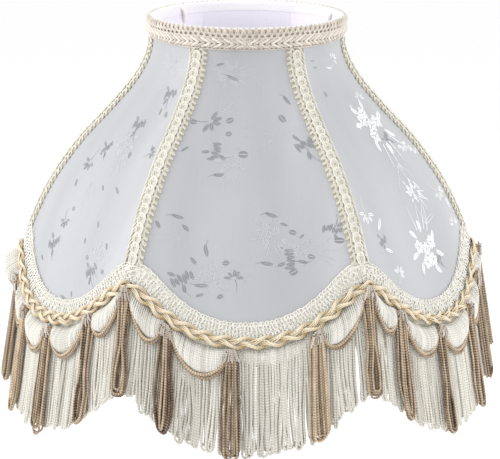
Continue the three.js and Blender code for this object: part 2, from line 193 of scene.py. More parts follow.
# Dull nickel over pressed steel: a soft grey metal with a pitted sheen, 1 mm from pit to pit.
nickel, tree, shader = new_material("dull nickel plate", Metallic=1.0,
                                    Base_Color=linear("C9C7C2"))
spot = add_node(tree, "ShaderNodeTexCoord")
pitting = add_node(tree, "ShaderNodeTexNoise", {"Vector": spot.outputs["Object"],
                                                "Scale": 900.0, "Detail": 5.0})
rough = add_node(tree, "ShaderNodeMapRange", {"Value": pitting.outputs["Fac"], "To Min": 0.28,
                                              "To Max": 0.45})
tree.links.new(rough.outputs["Result"], shader.inputs["Roughness"])
relief = add_node(tree, "ShaderNodeBump", {"Height": pitting.outputs["Fac"], "Strength": 0.2,
                                           "Distance": 0.0001})
tree.links.new(relief.outputs["Normal"], shader.inputs["Normal"])


def finish_piece(piece, name, nodes):
    """Names a finished piece, rides it on the shade and has it stand for CAD nodes."""
    piece.name = name
    piece.data.name = name
    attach(piece, "root")
    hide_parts(*nodes)
    bpy.ops.object.select_all(action="DESELECT")


def close_seams():
    """Merges the doubles of the mesh in edit mode and points its faces outwards."""
    bpy.ops.mesh.select_all(action="SELECT")
    bpy.ops.mesh.remove_doubles(threshold=1e-6)
    bpy.ops.mesh.normals_make_consistent(inside=False)
    bpy.ops.object.mode_set(mode="OBJECT")


bpy.ops.mesh.primitive_circle_add(vertices=64, radius=washer_hole_radius, fill_type="NOTHING",
                                  location=(0, 0, 0))
washer = bpy.context.object
bpy.ops.object.mode_set(mode="EDIT")
bpy.ops.mesh.select_all(action="SELECT")
bpy.ops.mesh.extrude_region_move()
bpy.ops.transform.resize(value=[washer_radius / washer_hole_radius] * 2 + [1])
bpy.ops.mesh.select_all(action="SELECT")
bpy.ops.mesh.normals_make_consistent(inside=False)
bpy.ops.mesh.extrude_region_move(TRANSFORM_OT_translate={"value": (0, 0, washer_thickness)})
close_seams()
rolled = washer.modifiers.new("rolled edge", "BEVEL")
rolled.width = 0.35 * MM
rolled.segments = 3
rolled.limit_method = "ANGLE"
bpy.ops.object.modifier_apply(modifier=rolled.name)
bpy.ops.object.shade_smooth_by_angle(angle=math.radians(35))
washer.data.materials.append(nickel)
finish_piece(washer, "nickel_washer", ["spider_washer"])

RING_R = 75.2
SPIDER_DROP = 19.0
ARM_INSET = 6.7
ARM_BEND = 4.5
FIRST_ARM = math.radians(-13)
WASHER_R = 12.7
for arm in range(3):
    azimuth = FIRST_ARM + arm * 2 * math.pi / 3
    outward = Vector((math.sin(azimuth), -math.cos(azimuth), 0))
    low = washer_thickness / MM / 2
    upright = RING_R - ARM_INSET
    knee = ARM_BEND * 0.45
    route = (
        (WASHER_R - 1.5, low),
        (upright - ARM_BEND, low),
        (upright - knee * 0.65, low + knee * 0.65),
        (upright, low + ARM_BEND),
        (upright, SPIDER_DROP - ARM_BEND),
        (upright + knee * 0.65, SPIDER_DROP - knee * 0.65),
        (RING_R - WIRE_RADIUS, SPIDER_DROP),
    )
    bpy.ops.curve.primitive_nurbs_path_add()
    rod = bpy.context.object
    rod.data.splines.clear()
    spline = rod.data.splines.new("BEZIER")
    spline.bezier_points.add(len(route) - 1)
    for point, (out, up) in zip(spline.bezier_points, route):
        point.co = (outward * out + Vector((0, 0, up))) * MM
        point.handle_left_type = "AUTO"
        point.handle_right_type = "AUTO"
    rod.data.bevel_depth = WIRE_RADIUS * MM
    rod.data.bevel_resolution = 4
    rod.data.resolution_u = 10
    rod.data.use_fill_caps = True
    bpy.ops.object.convert(target="MESH")
    bpy.ops.object.mode_set(mode="EDIT")
    close_seams()
    bpy.ops.object.shade_smooth_by_angle(angle=math.radians(60))
    rod.data.materials.clear()
    rod.data.materials.append(enamel)
    finish_piece(rod, f"spider_rod_{arm + 1}", [f"spider_arm_{arm + 1}"])


# ---------------------------------------------------------------- Lining
# Six gores of white polyester taffeta, stretched inside the ribs. They show from above.
# The bell is one formula: flat between two ribs, rounded out to the ring and to the base.
PANELS = 6
HALF = math.pi / PANELS
BASE_R = 175.6
RIB_DEPTH = 181.5
SCALLOP_DROP = 43.5
SCALLOP_POWER = 2.3
PEAK_ROUNDING = 0.075
RING_BLEND = 40.0
BASE_BLEND = 45.0
RIB_SHAPE = np.array([(0, 0), (0.07, -0.015), (0.145, 0.003), (0.265, 0.112), (0.41, 0.332),
                      (0.545, 0.558), (0.725, 0.789), (0.87, 0.919), (1, 1), (1.24, 1.054)])
CLOTH_LIFT = 2.5
LINING_LIFT = -2.4
CLOTH_TOP = 1.0
HEM = 1.8
rib_depths = RIB_SHAPE[:, 0] * RIB_DEPTH
rib_radii = RING_R + RIB_SHAPE[:, 1] * (BASE_R - RING_R)
secants = np.diff(rib_radii) / np.diff(rib_depths)
rib_slopes = np.concatenate((secants[:1], (secants[:-1] + secants[1:]) / 2, secants[-1:]))


def rib_radius(depth):
    """Radius of a rib's outline at a depth under the ring."""
    x = np.clip(depth, 0, rib_depths[-1])
    i = np.clip(np.searchsorted(rib_depths, x, side="right") - 1, 0, len(rib_depths) - 2)
    span = rib_depths[i + 1] - rib_depths[i]
    t = (x - rib_depths[i]) / span
    start = rib_radii[i] * (2 * t**3 - 3 * t**2 + 1) + rib_slopes[i] * span * (t**3 - 2 * t**2 + t)
    end = rib_radii[i + 1] * (3 * t**2 - 2 * t**3) + rib_slopes[i + 1] * span * (t**3 - t**2)
    return start + end


def base_depth(angle):
    """Depth of the scalloped base wire at an angle from the middle of its panel."""
    from_rib = 1 - np.abs(angle) / HALF
    bent = np.hypot(from_rib, PEAK_ROUNDING) - PEAK_ROUNDING
    most = math.hypot(1, PEAK_ROUNDING) - PEAK_ROUNDING
    return RIB_DEPTH + SCALLOP_DROP * (1 - np.abs(1 - bent / most) ** SCALLOP_POWER)


def bell(panel, angle, depth):
    """A point on the frame's surface, in millimetres."""
    chord = math.cos(HALF) / np.cos(angle)
    down = np.maximum(depth, 0)
    base = base_depth(angle)
    near_ring = np.exp(-down / RING_BLEND) * (1 - down / base)
    near_base = np.exp((down - base) / BASE_BLEND) * (down / base)
    radius = rib_radius(down) * chord + RING_R * (1 - chord) * near_ring
    radius = radius + (BASE_R - rib_radius(base) * chord) * near_base
    azimuth = 2 * HALF * panel + angle
    across = radius * np.sin(azimuth)
    return np.stack((across, -radius * np.cos(azimuth), SPIDER_DROP - depth + 0 * across), -1)


def unit(vectors):
    return vectors / np.linalg.norm(vectors, axis=-1, keepdims=True)


def skin(panel, angle, depth, lift):
    """A point lifted off the bell. Near a rib it is lifted along the mitre of two panels."""
    panel, angle, depth, lift = np.broadcast_arrays(
        *(np.asarray(value, float) for value in (panel, angle, depth, lift)))
    step = 0.01
    turn = step / RING_R
    across = bell(panel, angle + turn, depth) - bell(panel, angle - turn, depth)
    down = bell(panel, angle, depth + step) - bell(panel, angle, depth - step)
    normal = unit(np.cross(down, across))
    rib = (2 * panel + np.sign(angle)) * HALF
    beside = np.stack((np.cos(rib), np.sin(rib), 0 * rib), -1)
    mitre = normal - beside * (normal * beside).sum(-1, keepdims=True)
    mitre = mitre / (mitre * mitre).sum(-1, keepdims=True)
    share = np.minimum(np.abs(angle) / HALF, 1)[..., None] ** 4
    return bell(panel, angle, depth) + lift[..., None] * (normal + (mitre - normal) * share)


def make_mesh(points, faces, materials, maps=None, strand=None, slots=None):
    """A mesh object from points in millimetres and arrays of faces, shaded smooth."""
    mesh = bpy.data.meshes.new("new")
    mesh.from_pydata((points * MM).tolist(), [], [f for group in faces for f in group.tolist()])
    for material in materials:
        mesh.materials.append(material)
    if slots is not None:
        mesh.polygons.foreach_set("material_index", slots)
    if maps is not None:
        corners = np.concatenate([group.ravel() for group in faces])
        layer = mesh.uv_layers.new(name="cloth")
        layer.data.foreach_set("uv", maps[corners].ravel())
    if strand is not None:
        store = mesh.attributes.new("strand", "FLOAT_VECTOR", "POINT")
        store.data.foreach_set("vector", strand.ravel())
    mesh.shade_smooth()
    mesh.update()
    piece = bpy.data.objects.new("new", mesh)
    bpy.context.collection.objects.link(piece)
    return piece


def grid_faces(rows, columns, flip=False):
    """Quads of a grid whose points are stored row by row."""
    index = np.arange(rows * columns).reshape(rows, columns)
    quads = np.stack((index[:-1, :-1], index[1:, :-1], index[1:, 1:], index[:-1, 1:]), -1)
    quads = quads.reshape(-1, 4)
    return quads[:, ::-1] if flip else quads


def gore(panel, lift, rows, columns):
    """One gore of cloth as a grid: its points, and where each lies on the flat cloth in mm."""
    edge = 0.02 / RING_R
    angle = np.linspace(-HALF + edge, HALF - edge, columns)[None, :]
    share = np.linspace(0, 1, rows)[:, None]
    depth = CLOTH_TOP + share * (base_depth(angle) + HEM - CLOTH_TOP)
    points = skin(panel, angle, depth, lift)
    fall = np.linalg.norm(np.diff(points, axis=0), axis=-1)
    fall = np.vstack((np.zeros((1, columns)), np.cumsum(fall, axis=0)))
    width = angle * np.linalg.norm(points[:, columns // 2, :2], axis=-1)[:, None]
    return points.reshape(-1, 3), np.stack((width, fall), -1).reshape(-1, 2), fall.max()


# Taffeta is a plain weave of shiny thread, faintly lilac inside the shade. Its threads
# 0.2 mm apart wouldn't show, so they are drawn 2 mm apart and very faint.
ONE_BAND = math.pi / 10
THREADS_APART = 1.9635
taffeta, tree, shader = new_material("white taffeta lining", Roughness=0.55, Sheen_Weight=0.2)
spot = add_node(tree, "ShaderNodeUVMap", uv_map="cloth")
threads = {"Vector": spot.outputs["UV"], "Scale": ONE_BAND / THREADS_APART, "Distortion": 0.6,
           "Detail": 1.0}
warp = add_node(tree, "ShaderNodeTexWave", threads, bands_direction="X")
weft = add_node(tree, "ShaderNodeTexWave", threads, bands_direction="Y")
weave = add_node(tree, "ShaderNodeMath", {0: warp.outputs["Fac"], 1: weft.outputs["Fac"]},
                 operation="MULTIPLY")
pattern(tree, shader, weave.outputs["Value"], "E2DEE9", "E9E6EF", weave.outputs["Value"], 0.3,
        0.0001)

for panel in range(PANELS):
    rows, columns = 40, 24
    points, maps, fall = gore(panel, LINING_LIFT, rows, columns)
    lining = make_mesh(points, [grid_faces(rows, columns, flip=True)], [taffeta], maps)
    finish_piece(lining, f"taffeta_lining_{panel + 1}", [f"lining_panel_{panel + 1}"])


# ---------------------------------------------------------------- Satin panels
# Six gores of white satin jacquard, stretched over the ribs. The warp floats run down the
# shade, and the woven sprigs lie a thread proud, all of one white silk: painted grey as shade
# where a gore turns from the light, white as painted light where it faces it. Satin is smooth
# and silky, so light lies on it in soft bands, and these are painted into its colour as sheen.
satin, tree, shader = new_material("white satin jacquard ground", Roughness=0.4,
                                   Anisotropic=0.4, Sheen_Weight=0.12, Specular_IOR_Level=0.45)
spot = add_node(tree, "ShaderNodeUVMap", uv_map="cloth")
# The pull of the cloth shows as broad soft bands that run aslant, some 60 mm across, in its
# relief. The same bands lighten and darken its colour as painted sheen.
pull_and_sheen_slant = add_node(tree, "ShaderNodeMapping", {"Vector": spot.outputs["UV"],
                                            "Rotation": (0.0, 0.0, math.radians(-38)),
                                            "Scale": (0.017, 0.004, 1.0)})
bands = add_node(tree, "ShaderNodeTexNoise", {"Vector": pull_and_sheen_slant.outputs["Vector"], "Scale": 1.0,
                                              "Detail": 1.5})
# Warp threads 0.25 mm apart are too fine to show: only the odd slub 1.6 mm wide does.
stretch = add_node(tree, "ShaderNodeMapping", {"Vector": spot.outputs["UV"],
                                               "Scale": (0.62, 0.035, 1.0)})
slub = add_node(tree, "ShaderNodeTexNoise", {"Vector": stretch.outputs["Vector"], "Scale": 1.0,
                                             "Detail": 3.0})
# The slubs and the painted sheen of the bands together set the ground's tone.
both = add_node(tree, "ShaderNodeMath", {0: slub.outputs["Fac"], 1: 0.12,
                2: bands.outputs["Fac"]}, operation="MULTIPLY_ADD")
share = add_node(tree, "ShaderNodeMapRange", {"Value": both.outputs["Value"], "From Min": 0.38,
                                              "From Max": 0.74})
soft = add_node(tree, "ShaderNodeBump", {"Height": bands.outputs["Fac"], "Strength": 0.5,
                                         "Distance": 0.004})
pattern(tree, shader, share.outputs["Result"], "ACADB0", "BDBEC1", slub.outputs["Fac"], 0.12,
        0.0002, under=soft.outputs["Normal"])

BARS_APART = 0.8976


def sprig_thread(name, dark, light):
    """Weft floats of a woven sprig: silky bars across the petal, 0.9 mm apart."""
    material, tree, shader = new_material(name, Roughness=0.4, Sheen_Weight=0.2)
    spot = add_node(tree, "ShaderNodeUVMap", uv_map="cloth")
    bars = add_node(tree, "ShaderNodeTexWave", {"Vector": spot.outputs["UV"],
                    "Scale": ONE_BAND / BARS_APART, "Distortion": 1.0, "Detail": 1.0},
                    bands_direction="DIAGONAL")
    pattern(tree, shader, bars.outputs["Fac"], dark, light, bars.outputs["Fac"], 0.4, 0.0002)
    return material


# One white silk in three tones, set gore by gore: painted shade, painted light and a painted half
# light level with the ground.
shaded_sprig = sprig_thread("silk sprig in painted shade", "7C7D81", "96979B")
lit_sprig = sprig_thread("silk sprig in painted light", "E4E5E7", "F6F7F7")
half_lit_sprig = sprig_thread("silk sprig in painted half light", "AFB0B3", "C6C7CA")


def ribbon(line, half_widths):
    """Both edges of a flat strip along a line of points on the cloth."""
    along = np.gradient(line, axis=0)
    along = along / np.maximum(np.linalg.norm(along, axis=1, keepdims=True), 1e-9)
    beside = np.stack((-along[:, 1], along[:, 0]), -1) * half_widths[:, None]
    return np.stack((line - beside, line + beside), 1)


def petal(x, y, turn, length, width, bend=0.0, slit=1.0):
    """A petal or leaf, as two bars with the midrib's slit between them."""
    t = np.linspace(0, 1, 8)
    swell = np.sin(math.pi * t) ** 0.75
    half = width * (0.02 + 0.18 * swell)
    bars = []
    for side in (-1, 1):
        beside = half + slit * width * (0.06 + 0.055 * swell)
        middle = side * beside + bend * length * (t - t**2)
        line = np.stack(((t - 0.5) * length, middle), -1)
        bars.append(ribbon(line, half))
    c, s = math.cos(turn), math.sin(turn)
    return [bar @ np.array(((c, s), (-s, c))) + (x, y) for bar in bars]


def stem(x, y, turn, length, curl, half_width):
    """A thin curved stem that starts at x, y."""
    t = np.linspace(0, 1, 9)
    heading = turn + curl * t
    steps = np.stack((np.cos(heading), np.sin(heading)), -1) * length / 8
    line = np.array((x, y)) + np.cumsum(steps, axis=0)
    return [ribbon(line, half_width * (1.1 - 0.7 * t))]


def bean(turn, size, draw):
    """A bud seen from its side, split like a coffee bean."""
    return petal(0, 0, turn, 6.6 * size, 4.6 * size), []


def leaf(turn, size, draw):
    """A long bent leaf with a hair of stem at its foot."""
    stems = stem(0, 0, turn + math.pi, 9 * size, draw.uniform(-0.8, 0.8), 0.25)
    return petal(0, 0, turn, 11 * size, 3.0 * size, bend=0.18), stems


def star(turn, size, draw):
    """Half a flower: five narrow split petals that spread from one point."""
    bars = []
    for k in range(5):
        away = turn + math.radians(-86 + 43 * k) + draw.uniform(-0.12, 0.12)
        reach = size * draw.uniform(5.0, 6.5)
        bars += petal(reach * math.cos(away), reach * math.sin(away), away,
                      size * draw.uniform(6.4, 8.2), size * 2.9)
    return bars, stem(0, 0, turn + 2.6, 14 * size, 0.7, 0.25)


def bunch(turn, size, draw):
    """Crowded petals seen edge on: split bars packed side by side, and two that stray."""
    bars = []
    for k in range(6):
        slide = draw.uniform(-2.2, 2.2)
        across = (k - 2.5) * 2.9
        bars += petal(size * (slide * math.cos(turn) - across * math.sin(turn)),
                      size * (slide * math.sin(turn) + across * math.cos(turn)),
                      turn + draw.uniform(-0.25, 0.25), size * draw.uniform(6, 9.5), size * 2.4)
    for k in (-1, 1):
        away = turn + k * draw.uniform(0.2, 0.7)
        bars += petal(k * size * 9 * math.cos(away), k * size * 9 * math.sin(away), away,
                      size * 7, size * 2.6)
    return bars, stem(0, 0, turn + 0.5, 16 * size, -0.9, 0.25)


def stroke(turn, size, draw):
    """One short split bar."""
    return petal(0, 0, turn, 7.5 * size, 2.3 * size), []


def wisp(turn, size, draw):
    """Hair-thin stems that part from one foot."""
    stems = []
    for k in range(4):
        stems += stem(0, 0, turn + 0.45 * (k - 1.5), size * draw.uniform(14, 26),
                      draw.uniform(-0.9, 0.9), 0.32)
    return [], stems


def bouquet(turn, size, draw):
    """A bunch of five round florets with leaves about them and long bent stems below."""
    bars, stems = [], []
    for k in range(5):
        away = turn + 2.4 * k
        reach = size * (9.2 if k else 0)
        x, y = reach * math.cos(away), reach * math.sin(away)
        for j in range(5):
            out = away + math.radians(72 * j) + draw.uniform(-0.1, 0.1)
            bars += petal(x + 2.9 * size * math.cos(out), y + 2.9 * size * math.sin(out), out,
                          size * 4.7, size * 4.3, slit=0.5)
    for k in range(7):
        away = turn + math.radians(51 * k) + draw.uniform(-0.25, 0.25)
        reach = size * draw.uniform(14.5, 18)
        bars += petal(reach * math.cos(away), reach * math.sin(away),
                      away + draw.uniform(-0.5, 0.5), size * 9.5, size * 3.8, bend=0.25,
                      slit=0.4)
    for k in range(4):
        away = turn + math.radians(-27 + 18 * k) + draw.uniform(-0.1, 0.1)
        stems += stem(12 * size * math.cos(away), 12 * size * math.sin(away), away,
                      size * draw.uniform(16, 24), draw.uniform(-0.7, 0.7), 0.6)
    return bars, stems


# Where the loom's repeat falls on each gore: a share of the half gore to the right of its
# middle, a share of its fall, the turn in degrees and the size.
front_repeat = (
    (star, -0.57, 0.33, 20, 1.0), (bean, -0.27, 0.31, -20, 1.0), (bean, -0.27, 0.352, 0, 0.8),
    (bean, -0.80, 0.36, 10, 0.8), (bunch, -0.42, 0.415, 15, 0.9), (bean, -0.05, 0.41, 0, 1.25),
    (leaf, -0.34, 0.48, 0, 0.9), (stroke, -0.80, 0.455, -40, 0.8), (leaf, 0.70, 0.27, 65, 0.8),
    (bean, 0.56, 0.32, 60, 1.05), (bunch, 0.78, 0.44, 60, 0.95), (stroke, -0.55, 0.13, -20, 0.9),
    (leaf, -0.28, 0.17, 25, 1.0), (leaf, 0.26, 0.60, 20, 1.0), (stroke, 0.38, 0.64, 20, 0.9),
    (bean, 0.46, 0.675, 15, 0.9), (stroke, 0.54, 0.70, -40, 0.7), (bunch, 0.42, 0.757, 0, 1.05),
    (leaf, 0.19, 0.75, 10, 1.0), (bean, 0.43, 0.80, -30, 1.15), (bean, 0.60, 0.78, 20, 0.9),
    (bunch, 0.82, 0.745, -70, 0.8), (bean, 0.86, 0.80, 0, 1.1), (leaf, -0.39, 0.725, 75, 1.0),
    (stroke, -0.50, 0.775, 50, 1.1), (bean, -0.20, 0.75, -10, 0.9), (star, -0.12, 0.795, -90, 0.8),
    (stroke, -0.61, 0.685, 45, 1.1), (leaf, -0.70, 0.665, 20, 0.9), (stroke, -0.86, 0.74, 60, 1.0),
    (leaf, -0.41, 0.84, 0, 1.0), (bunch, -0.58, 0.85, 60, 1.05), (stroke, -0.42, 0.875, -20, 0.9),
    (bean, -0.24, 0.86, -25, 0.8),
)
front_ghosts = (
    (bouquet, -0.36, 0.16, 0, 0.7), (wisp, -0.45, 0.30, -60, 1.2), (wisp, 0.45, 0.36, 170, 1.2),
    (bouquet, -0.20, 0.44, 90, 0.7), (wisp, 0.72, 0.36, 90, 0.7), (bouquet, 0.22, 0.66, 60, 0.8),
    (wisp, -0.30, 0.78, 20, 1.2), (bouquet, -0.32, 0.80, 0, 0.9), (wisp, 0.40, 0.72, 200, 1.3),
    (bouquet, 0.55, 0.745, 10, 0.7), (wisp, -0.62, 0.72, 160, 1.0), (wisp, 0.10, 0.16, 60, 0.8),
)
right_repeat = (
    (bouquet, 0.33, 0.375, 75, 1.25), (star, 0.66, 0.49, 80, 0.9), (leaf, 0.10, 0.31, 100, 1.0),
    (leaf, -0.02, 0.36, 80, 0.8), (star, 0.55, 0.30, -70, 0.7), (star, 0.26, 0.135, -40, 0.8),
    (leaf, 0.02, 0.16, 10, 0.7), (bouquet, 0.12, 0.78, -75, 1.35), (leaf, -0.60, 0.70, -50, 1.2),
    (star, -0.76, 0.69, 100, 1.0), (leaf, -0.56, 0.785, 30, 1.0), (star, -0.50, 0.86, -50, 0.9),
    (star, 0.84, 0.55, 120, 0.8), (star, 0.78, 0.71, 60, 0.9), (leaf, 0.86, 0.79, 90, 1.0),
    (star, 0.80, 0.85, -90, 0.8), (wisp, 0.30, 0.50, 80, 1.1), (wisp, 0.25, 0.71, -40, 1.1),
    (bouquet, 0.30, 0.60, 30, 0.6), (leaf, 0.45, 0.60, 60, 0.9),
)
right_ghosts = (
    (stroke, -0.55, 0.13, 0, 0.8), (stroke, -0.50, 0.155, 10, 0.8), (bean, -0.45, 0.25, 80, 0.8),
    (bunch, 0.45, 0.43, 30, 0.7), (bunch, 0.30, 0.83, 60, 0.8), (bunch, -0.62, 0.76, 70, 0.7),
)
left_repeat = (
    (bunch, 0.52, 0.25, 70, 0.9), (stroke, 0.48, 0.31, 80, 0.8), (bean, 0.66, 0.33, 60, 0.8),
    (bunch, 0.10, 0.35, 60, 1.0), (bean, 0.32, 0.45, 70, 0.9), (star, 0.74, 0.47, -20, 0.6),
    (bunch, -0.30, 0.45, 50, 0.8), (stroke, 0.10, 0.56, 40, 0.9), (leaf, 0.42, 0.57, 30, 0.8),
    (star, -0.46, 0.52, 110, 0.9), (stroke, -0.50, 0.60, 60, 1.0), (bean, -0.30, 0.66, 20, 0.8),
    (stroke, 0.30, 0.68, 60, 0.9), (bunch, 0.44, 0.845, 50, 1.0), (stroke, 0.58, 0.775, 60, 0.9),
    (bean, 0.30, 0.79, 30, 0.8), (bunch, -0.40, 0.80, 60, 1.0), (star, -0.36, 0.71, 80, 0.8),
    (stroke, 0.16, 0.735, 70, 0.8), (bean, 0.62, 0.87, 20, 0.8), (stroke, -0.52, 0.88, 40, 0.9),
    (leaf, 0.08, 0.93, 10, 0.8), (stroke, 0.20, 0.915, 60, 0.8),
)
left_ghosts = (
    (bouquet, 0.30, 0.14, 20, 0.8), (wisp, 0.30, 0.20, 90, 1.0), (bouquet, 0.10, 0.42, 60, 0.8),
    (wisp, -0.20, 0.55, 60, 1.0), (bouquet, 0.45, 0.80, 60, 0.8), (wisp, -0.30, 0.75, 100, 1.1),
)
# Each gore's repeat and ghosts, with the painted light or shade that each is drawn in, and its
# hand.
gore_patterns = (
    (front_repeat, shaded_sprig, front_ghosts, half_lit_sprig, 1),
    (right_repeat, lit_sprig, right_ghosts, shaded_sprig, 1),
    (left_repeat, lit_sprig, left_ghosts, half_lit_sprig, -1),
    (front_repeat, shaded_sprig, front_ghosts, half_lit_sprig, -1),
    (right_repeat, shaded_sprig, left_ghosts, half_lit_sprig, -1),
    (left_repeat, shaded_sprig, left_ghosts, half_lit_sprig, 1),
)
SPRIG_LIFT = CLOTH_LIFT + 0.12
GHOST_LIFT = CLOTH_LIFT + 0.06
FORESHORTEN = 0.8
for panel in range(PANELS):
    rows, columns = 72, 48
    points, maps, fall = gore(panel, CLOTH_LIFT, rows, columns)
    faces = [grid_faces(rows, columns)]
    slots = [np.zeros(len(faces[0]), int)]
    parts, places = [points], [maps]
    repeat, thread, ghosts, ghost_thread, hand = gore_patterns[panel]
    draw = np.random.default_rng(40 + panel)
    for layout, slot, lift in ((ghosts, 2, GHOST_LIFT), (repeat, 1, SPRIG_LIFT)):
        for shape, across, down, turn, size in layout:
            bars, stems = shape(math.radians(turn), size, draw)
            middle = across * hand * HALF
            depth_at = down * base_depth(middle)
            radius = rib_radius(depth_at)
            for number, strip in enumerate(bars + stems):
                angle = middle + hand * strip[..., 0] / radius
                depth = depth_at + FORESHORTEN * strip[..., 1]
                inside = (np.abs(angle) < HALF * 0.985) & (depth > 4)
                inside &= depth < base_depth(np.clip(angle, -HALF, HALF)) - 2
                if not inside.all():
                    continue
                start = sum(len(part) for part in parts)
                proud = lift + 0.012 * (number // 2 % 5)
                parts.append(skin(panel, angle, depth, proud).reshape(-1, 3))
                places.append(strip.reshape(-1, 2) + (across * 90, down * 240))
                quads = grid_faces(len(strip), 2, flip=hand < 0) + start
                faces.append(quads)
                slots.append(np.full(len(quads), slot))
    cloth = make_mesh(np.vstack(parts), faces, [satin, thread, ghost_thread],
                      np.vstack(places), slots=np.concatenate(slots))
    finish_piece(cloth, f"satin_panel_{panel + 1}", [f"outer_panel_{panel + 1}"])


# ---------------------------------------------------------------- Binding tapes
# Woven cotton tape folded over the ring and under the base wire, to hide the raw edges of
# cloth and lining. It is glued down, and the braids cover its outer leg.
# Bleached cotton is matt and faintly fuzzy, with slubs about 1 mm across.
cotton_tape, tree, shader = new_material("bleached cotton tape", Roughness=0.85,
                                         Sheen_Weight=0.3)
spot = add_node(tree, "ShaderNodeTexCoord")
slubs = add_node(tree, "ShaderNodeTexNoise", {"Vector": spot.outputs["Object"], "Scale": 900.0,
                                              "Detail": 2.0})
pattern(tree, shader, slubs.outputs["Fac"], "E0DDE2", "F2F0F4", slubs.outputs["Fac"], 0.5,
        0.0003)


def around(count):
    """Panel and angle of evenly spread places round the shade, the first repeated last."""
    turn = np.linspace(0, 2 * math.pi, count + 1)
    panel = np.round(turn / (2 * HALF))
    return panel, turn - panel * 2 * HALF


def beside_base(panel, angle, up, lift):
    """A point beside the base wire, up square to it on the wall and lifted off the wall."""
    panel, angle, up, lift = np.broadcast_arrays(
        *(np.asarray(value, float) for value in (panel, angle, up, lift)))
    turn = 0.01 / BASE_R
    slope = (base_depth(angle + turn) - base_depth(angle - turn)) / (2 * turn * BASE_R)
    length = np.hypot(1, slope)
    moved = np.clip(angle + up * slope / length / BASE_R, -HALF, HALF)
    return skin(panel, moved, base_depth(angle) - up / length, lift)


def tape_band(name, node, rows, flip):
    """A folded tape round the whole shade from its rows of points."""
    points = np.stack(rows)
    tape = make_mesh(points.reshape(-1, 3), [grid_faces(*points.shape[:2], flip=flip)],
                     [cotton_tape])
    bpy.context.view_layer.objects.active = tape
    tape.select_set(True)
    bpy.ops.object.mode_set(mode="EDIT")
    bpy.ops.mesh.select_all(action="SELECT")
    bpy.ops.mesh.remove_doubles(threshold=1e-6)
    bpy.ops.object.mode_set(mode="OBJECT")
    finish_piece(tape, name, [node])


panel, angle = around(192)
rim_fold = ((-0.6, 3.0), (-1.7, 2.4), (-2.2, 1.0), (-2.2, -0.8), (-1.6, -2.6), (-0.4, -3.3),
            (1.4, -3.4), (6.0, -2.7))
tape_band("cotton_rim_tape", "rim_tape",
          [skin(panel, angle, down, lift) for down, lift in rim_fold], True)
panel, angle = around(384)
hem_fold = ((-2.2, 2.5), (-2.7, 1.6), (-2.7, -2.6), (-1.4, -3.6), (6.0, -3.6))
tape_band("cotton_base_tape", "base_tape",
          [beside_base(panel, angle, up, lift) for up, lift in hem_fold], False)


# ---------------------------------------------------------------- Rib braids
# Gimp braid 15 mm wide, glued down every rib: small scrolled loops along one edge, a chain of
# drop-shaped loops in the middle and slanting cords on the other, on a close woven ground.
def sweep(paths, up, radius, sides, tints, closed=False):
    """Round cords along many paths of the same length. up is the side that the first corner
    faces. Gives points, arrays of faces and, for each point: mm along, across from -1 to 1
    and the cord's own tint."""
    count, steps = paths.shape[:2]
    if closed:
        along = np.roll(paths, -1, axis=1) - np.roll(paths, 1, axis=1)
    else:
        along = np.gradient(paths, axis=1)
    along = unit(along)
    out = unit(up - along * (up * along).sum(-1, keepdims=True))
    beside = np.cross(along, out)
    turn = 2 * math.pi * np.arange(sides) / sides
    radius = np.broadcast_to(radius, (count, steps))[:, :, None, None]
    ring = np.cos(turn)[:, None] * out[:, :, None] + np.sin(turn)[:, None] * beside[:, :, None]
    points = paths[:, :, None] + radius * ring
    length = np.linalg.norm(np.diff(paths, axis=1), axis=-1)
    length = np.hstack((np.zeros((count, 1)), np.cumsum(length, axis=1)))
    strand = np.empty((count, steps, sides, 3))
    strand[..., 0] = length[:, :, None]
    strand[..., 1] = np.sin(turn)
    strand[..., 2] = np.broadcast_to(np.reshape(tints, (count, -1)), (count, steps))[..., None]
    index = np.arange(count * steps * sides).reshape(count, steps, sides)
    ahead = np.roll(index, -1, axis=1) if closed else index[:, 1:]
    here = index if closed else index[:, :-1]
    quads = np.stack((here, np.roll(here, -1, axis=2), np.roll(ahead, -1, axis=2), ahead), -1)
    faces = [quads.reshape(-1, 4)]
    if not closed:
        faces += [index[:, 0, ::-1], index[:, -1]]
    return points.reshape(-1, 3), faces, strand.reshape(-1, 3)


def join(swept):
    """Several swept groups as one set of points, faces and strand values."""
    points, faces, strands, start = [], [], [], 0
    for group_points, group_faces, group_strand in swept:
        points.append(group_points)
        faces += [f + start for f in group_faces]
        strands.append(group_strand)
        start += len(group_points)
    return np.vstack(points), faces, np.vstack(strands)


def laid(place, s, u, h, radius, sides, tints, closed=False):
    """Cords laid on the shade: s along a braid, u across it and h off the wall, in mm."""
    s, u, h = np.broadcast_arrays(s, u, h)
    centre = place(s, u, h)
    return sweep(centre, place(s, u, h + 1) - centre, radius, sides, tints, closed)


def backed(swept, grounds, columns, flip, cord, backing):
    """A braid's mesh: swept cords, and flat woven strips behind them, each with its rows."""
    points, faces, strand = join(swept)
    cords = sum(len(f) for f in faces)
    for ground, rows in grounds:
        faces.append(grid_faces(rows, columns, flip) + len(points))
        cloth = np.full((len(ground), 3), 0.4)
        cloth[:, 0] = np.repeat(np.arange(rows) * 1.3, columns)
        points = np.vstack((points, ground))
        strand = np.vstack((strand, cloth))
    slots = (np.arange(sum(len(f) for f in faces)) >= cords).astype(int)
    return make_mesh(points, faces, [cord, backing], strand=strand, slots=slots)


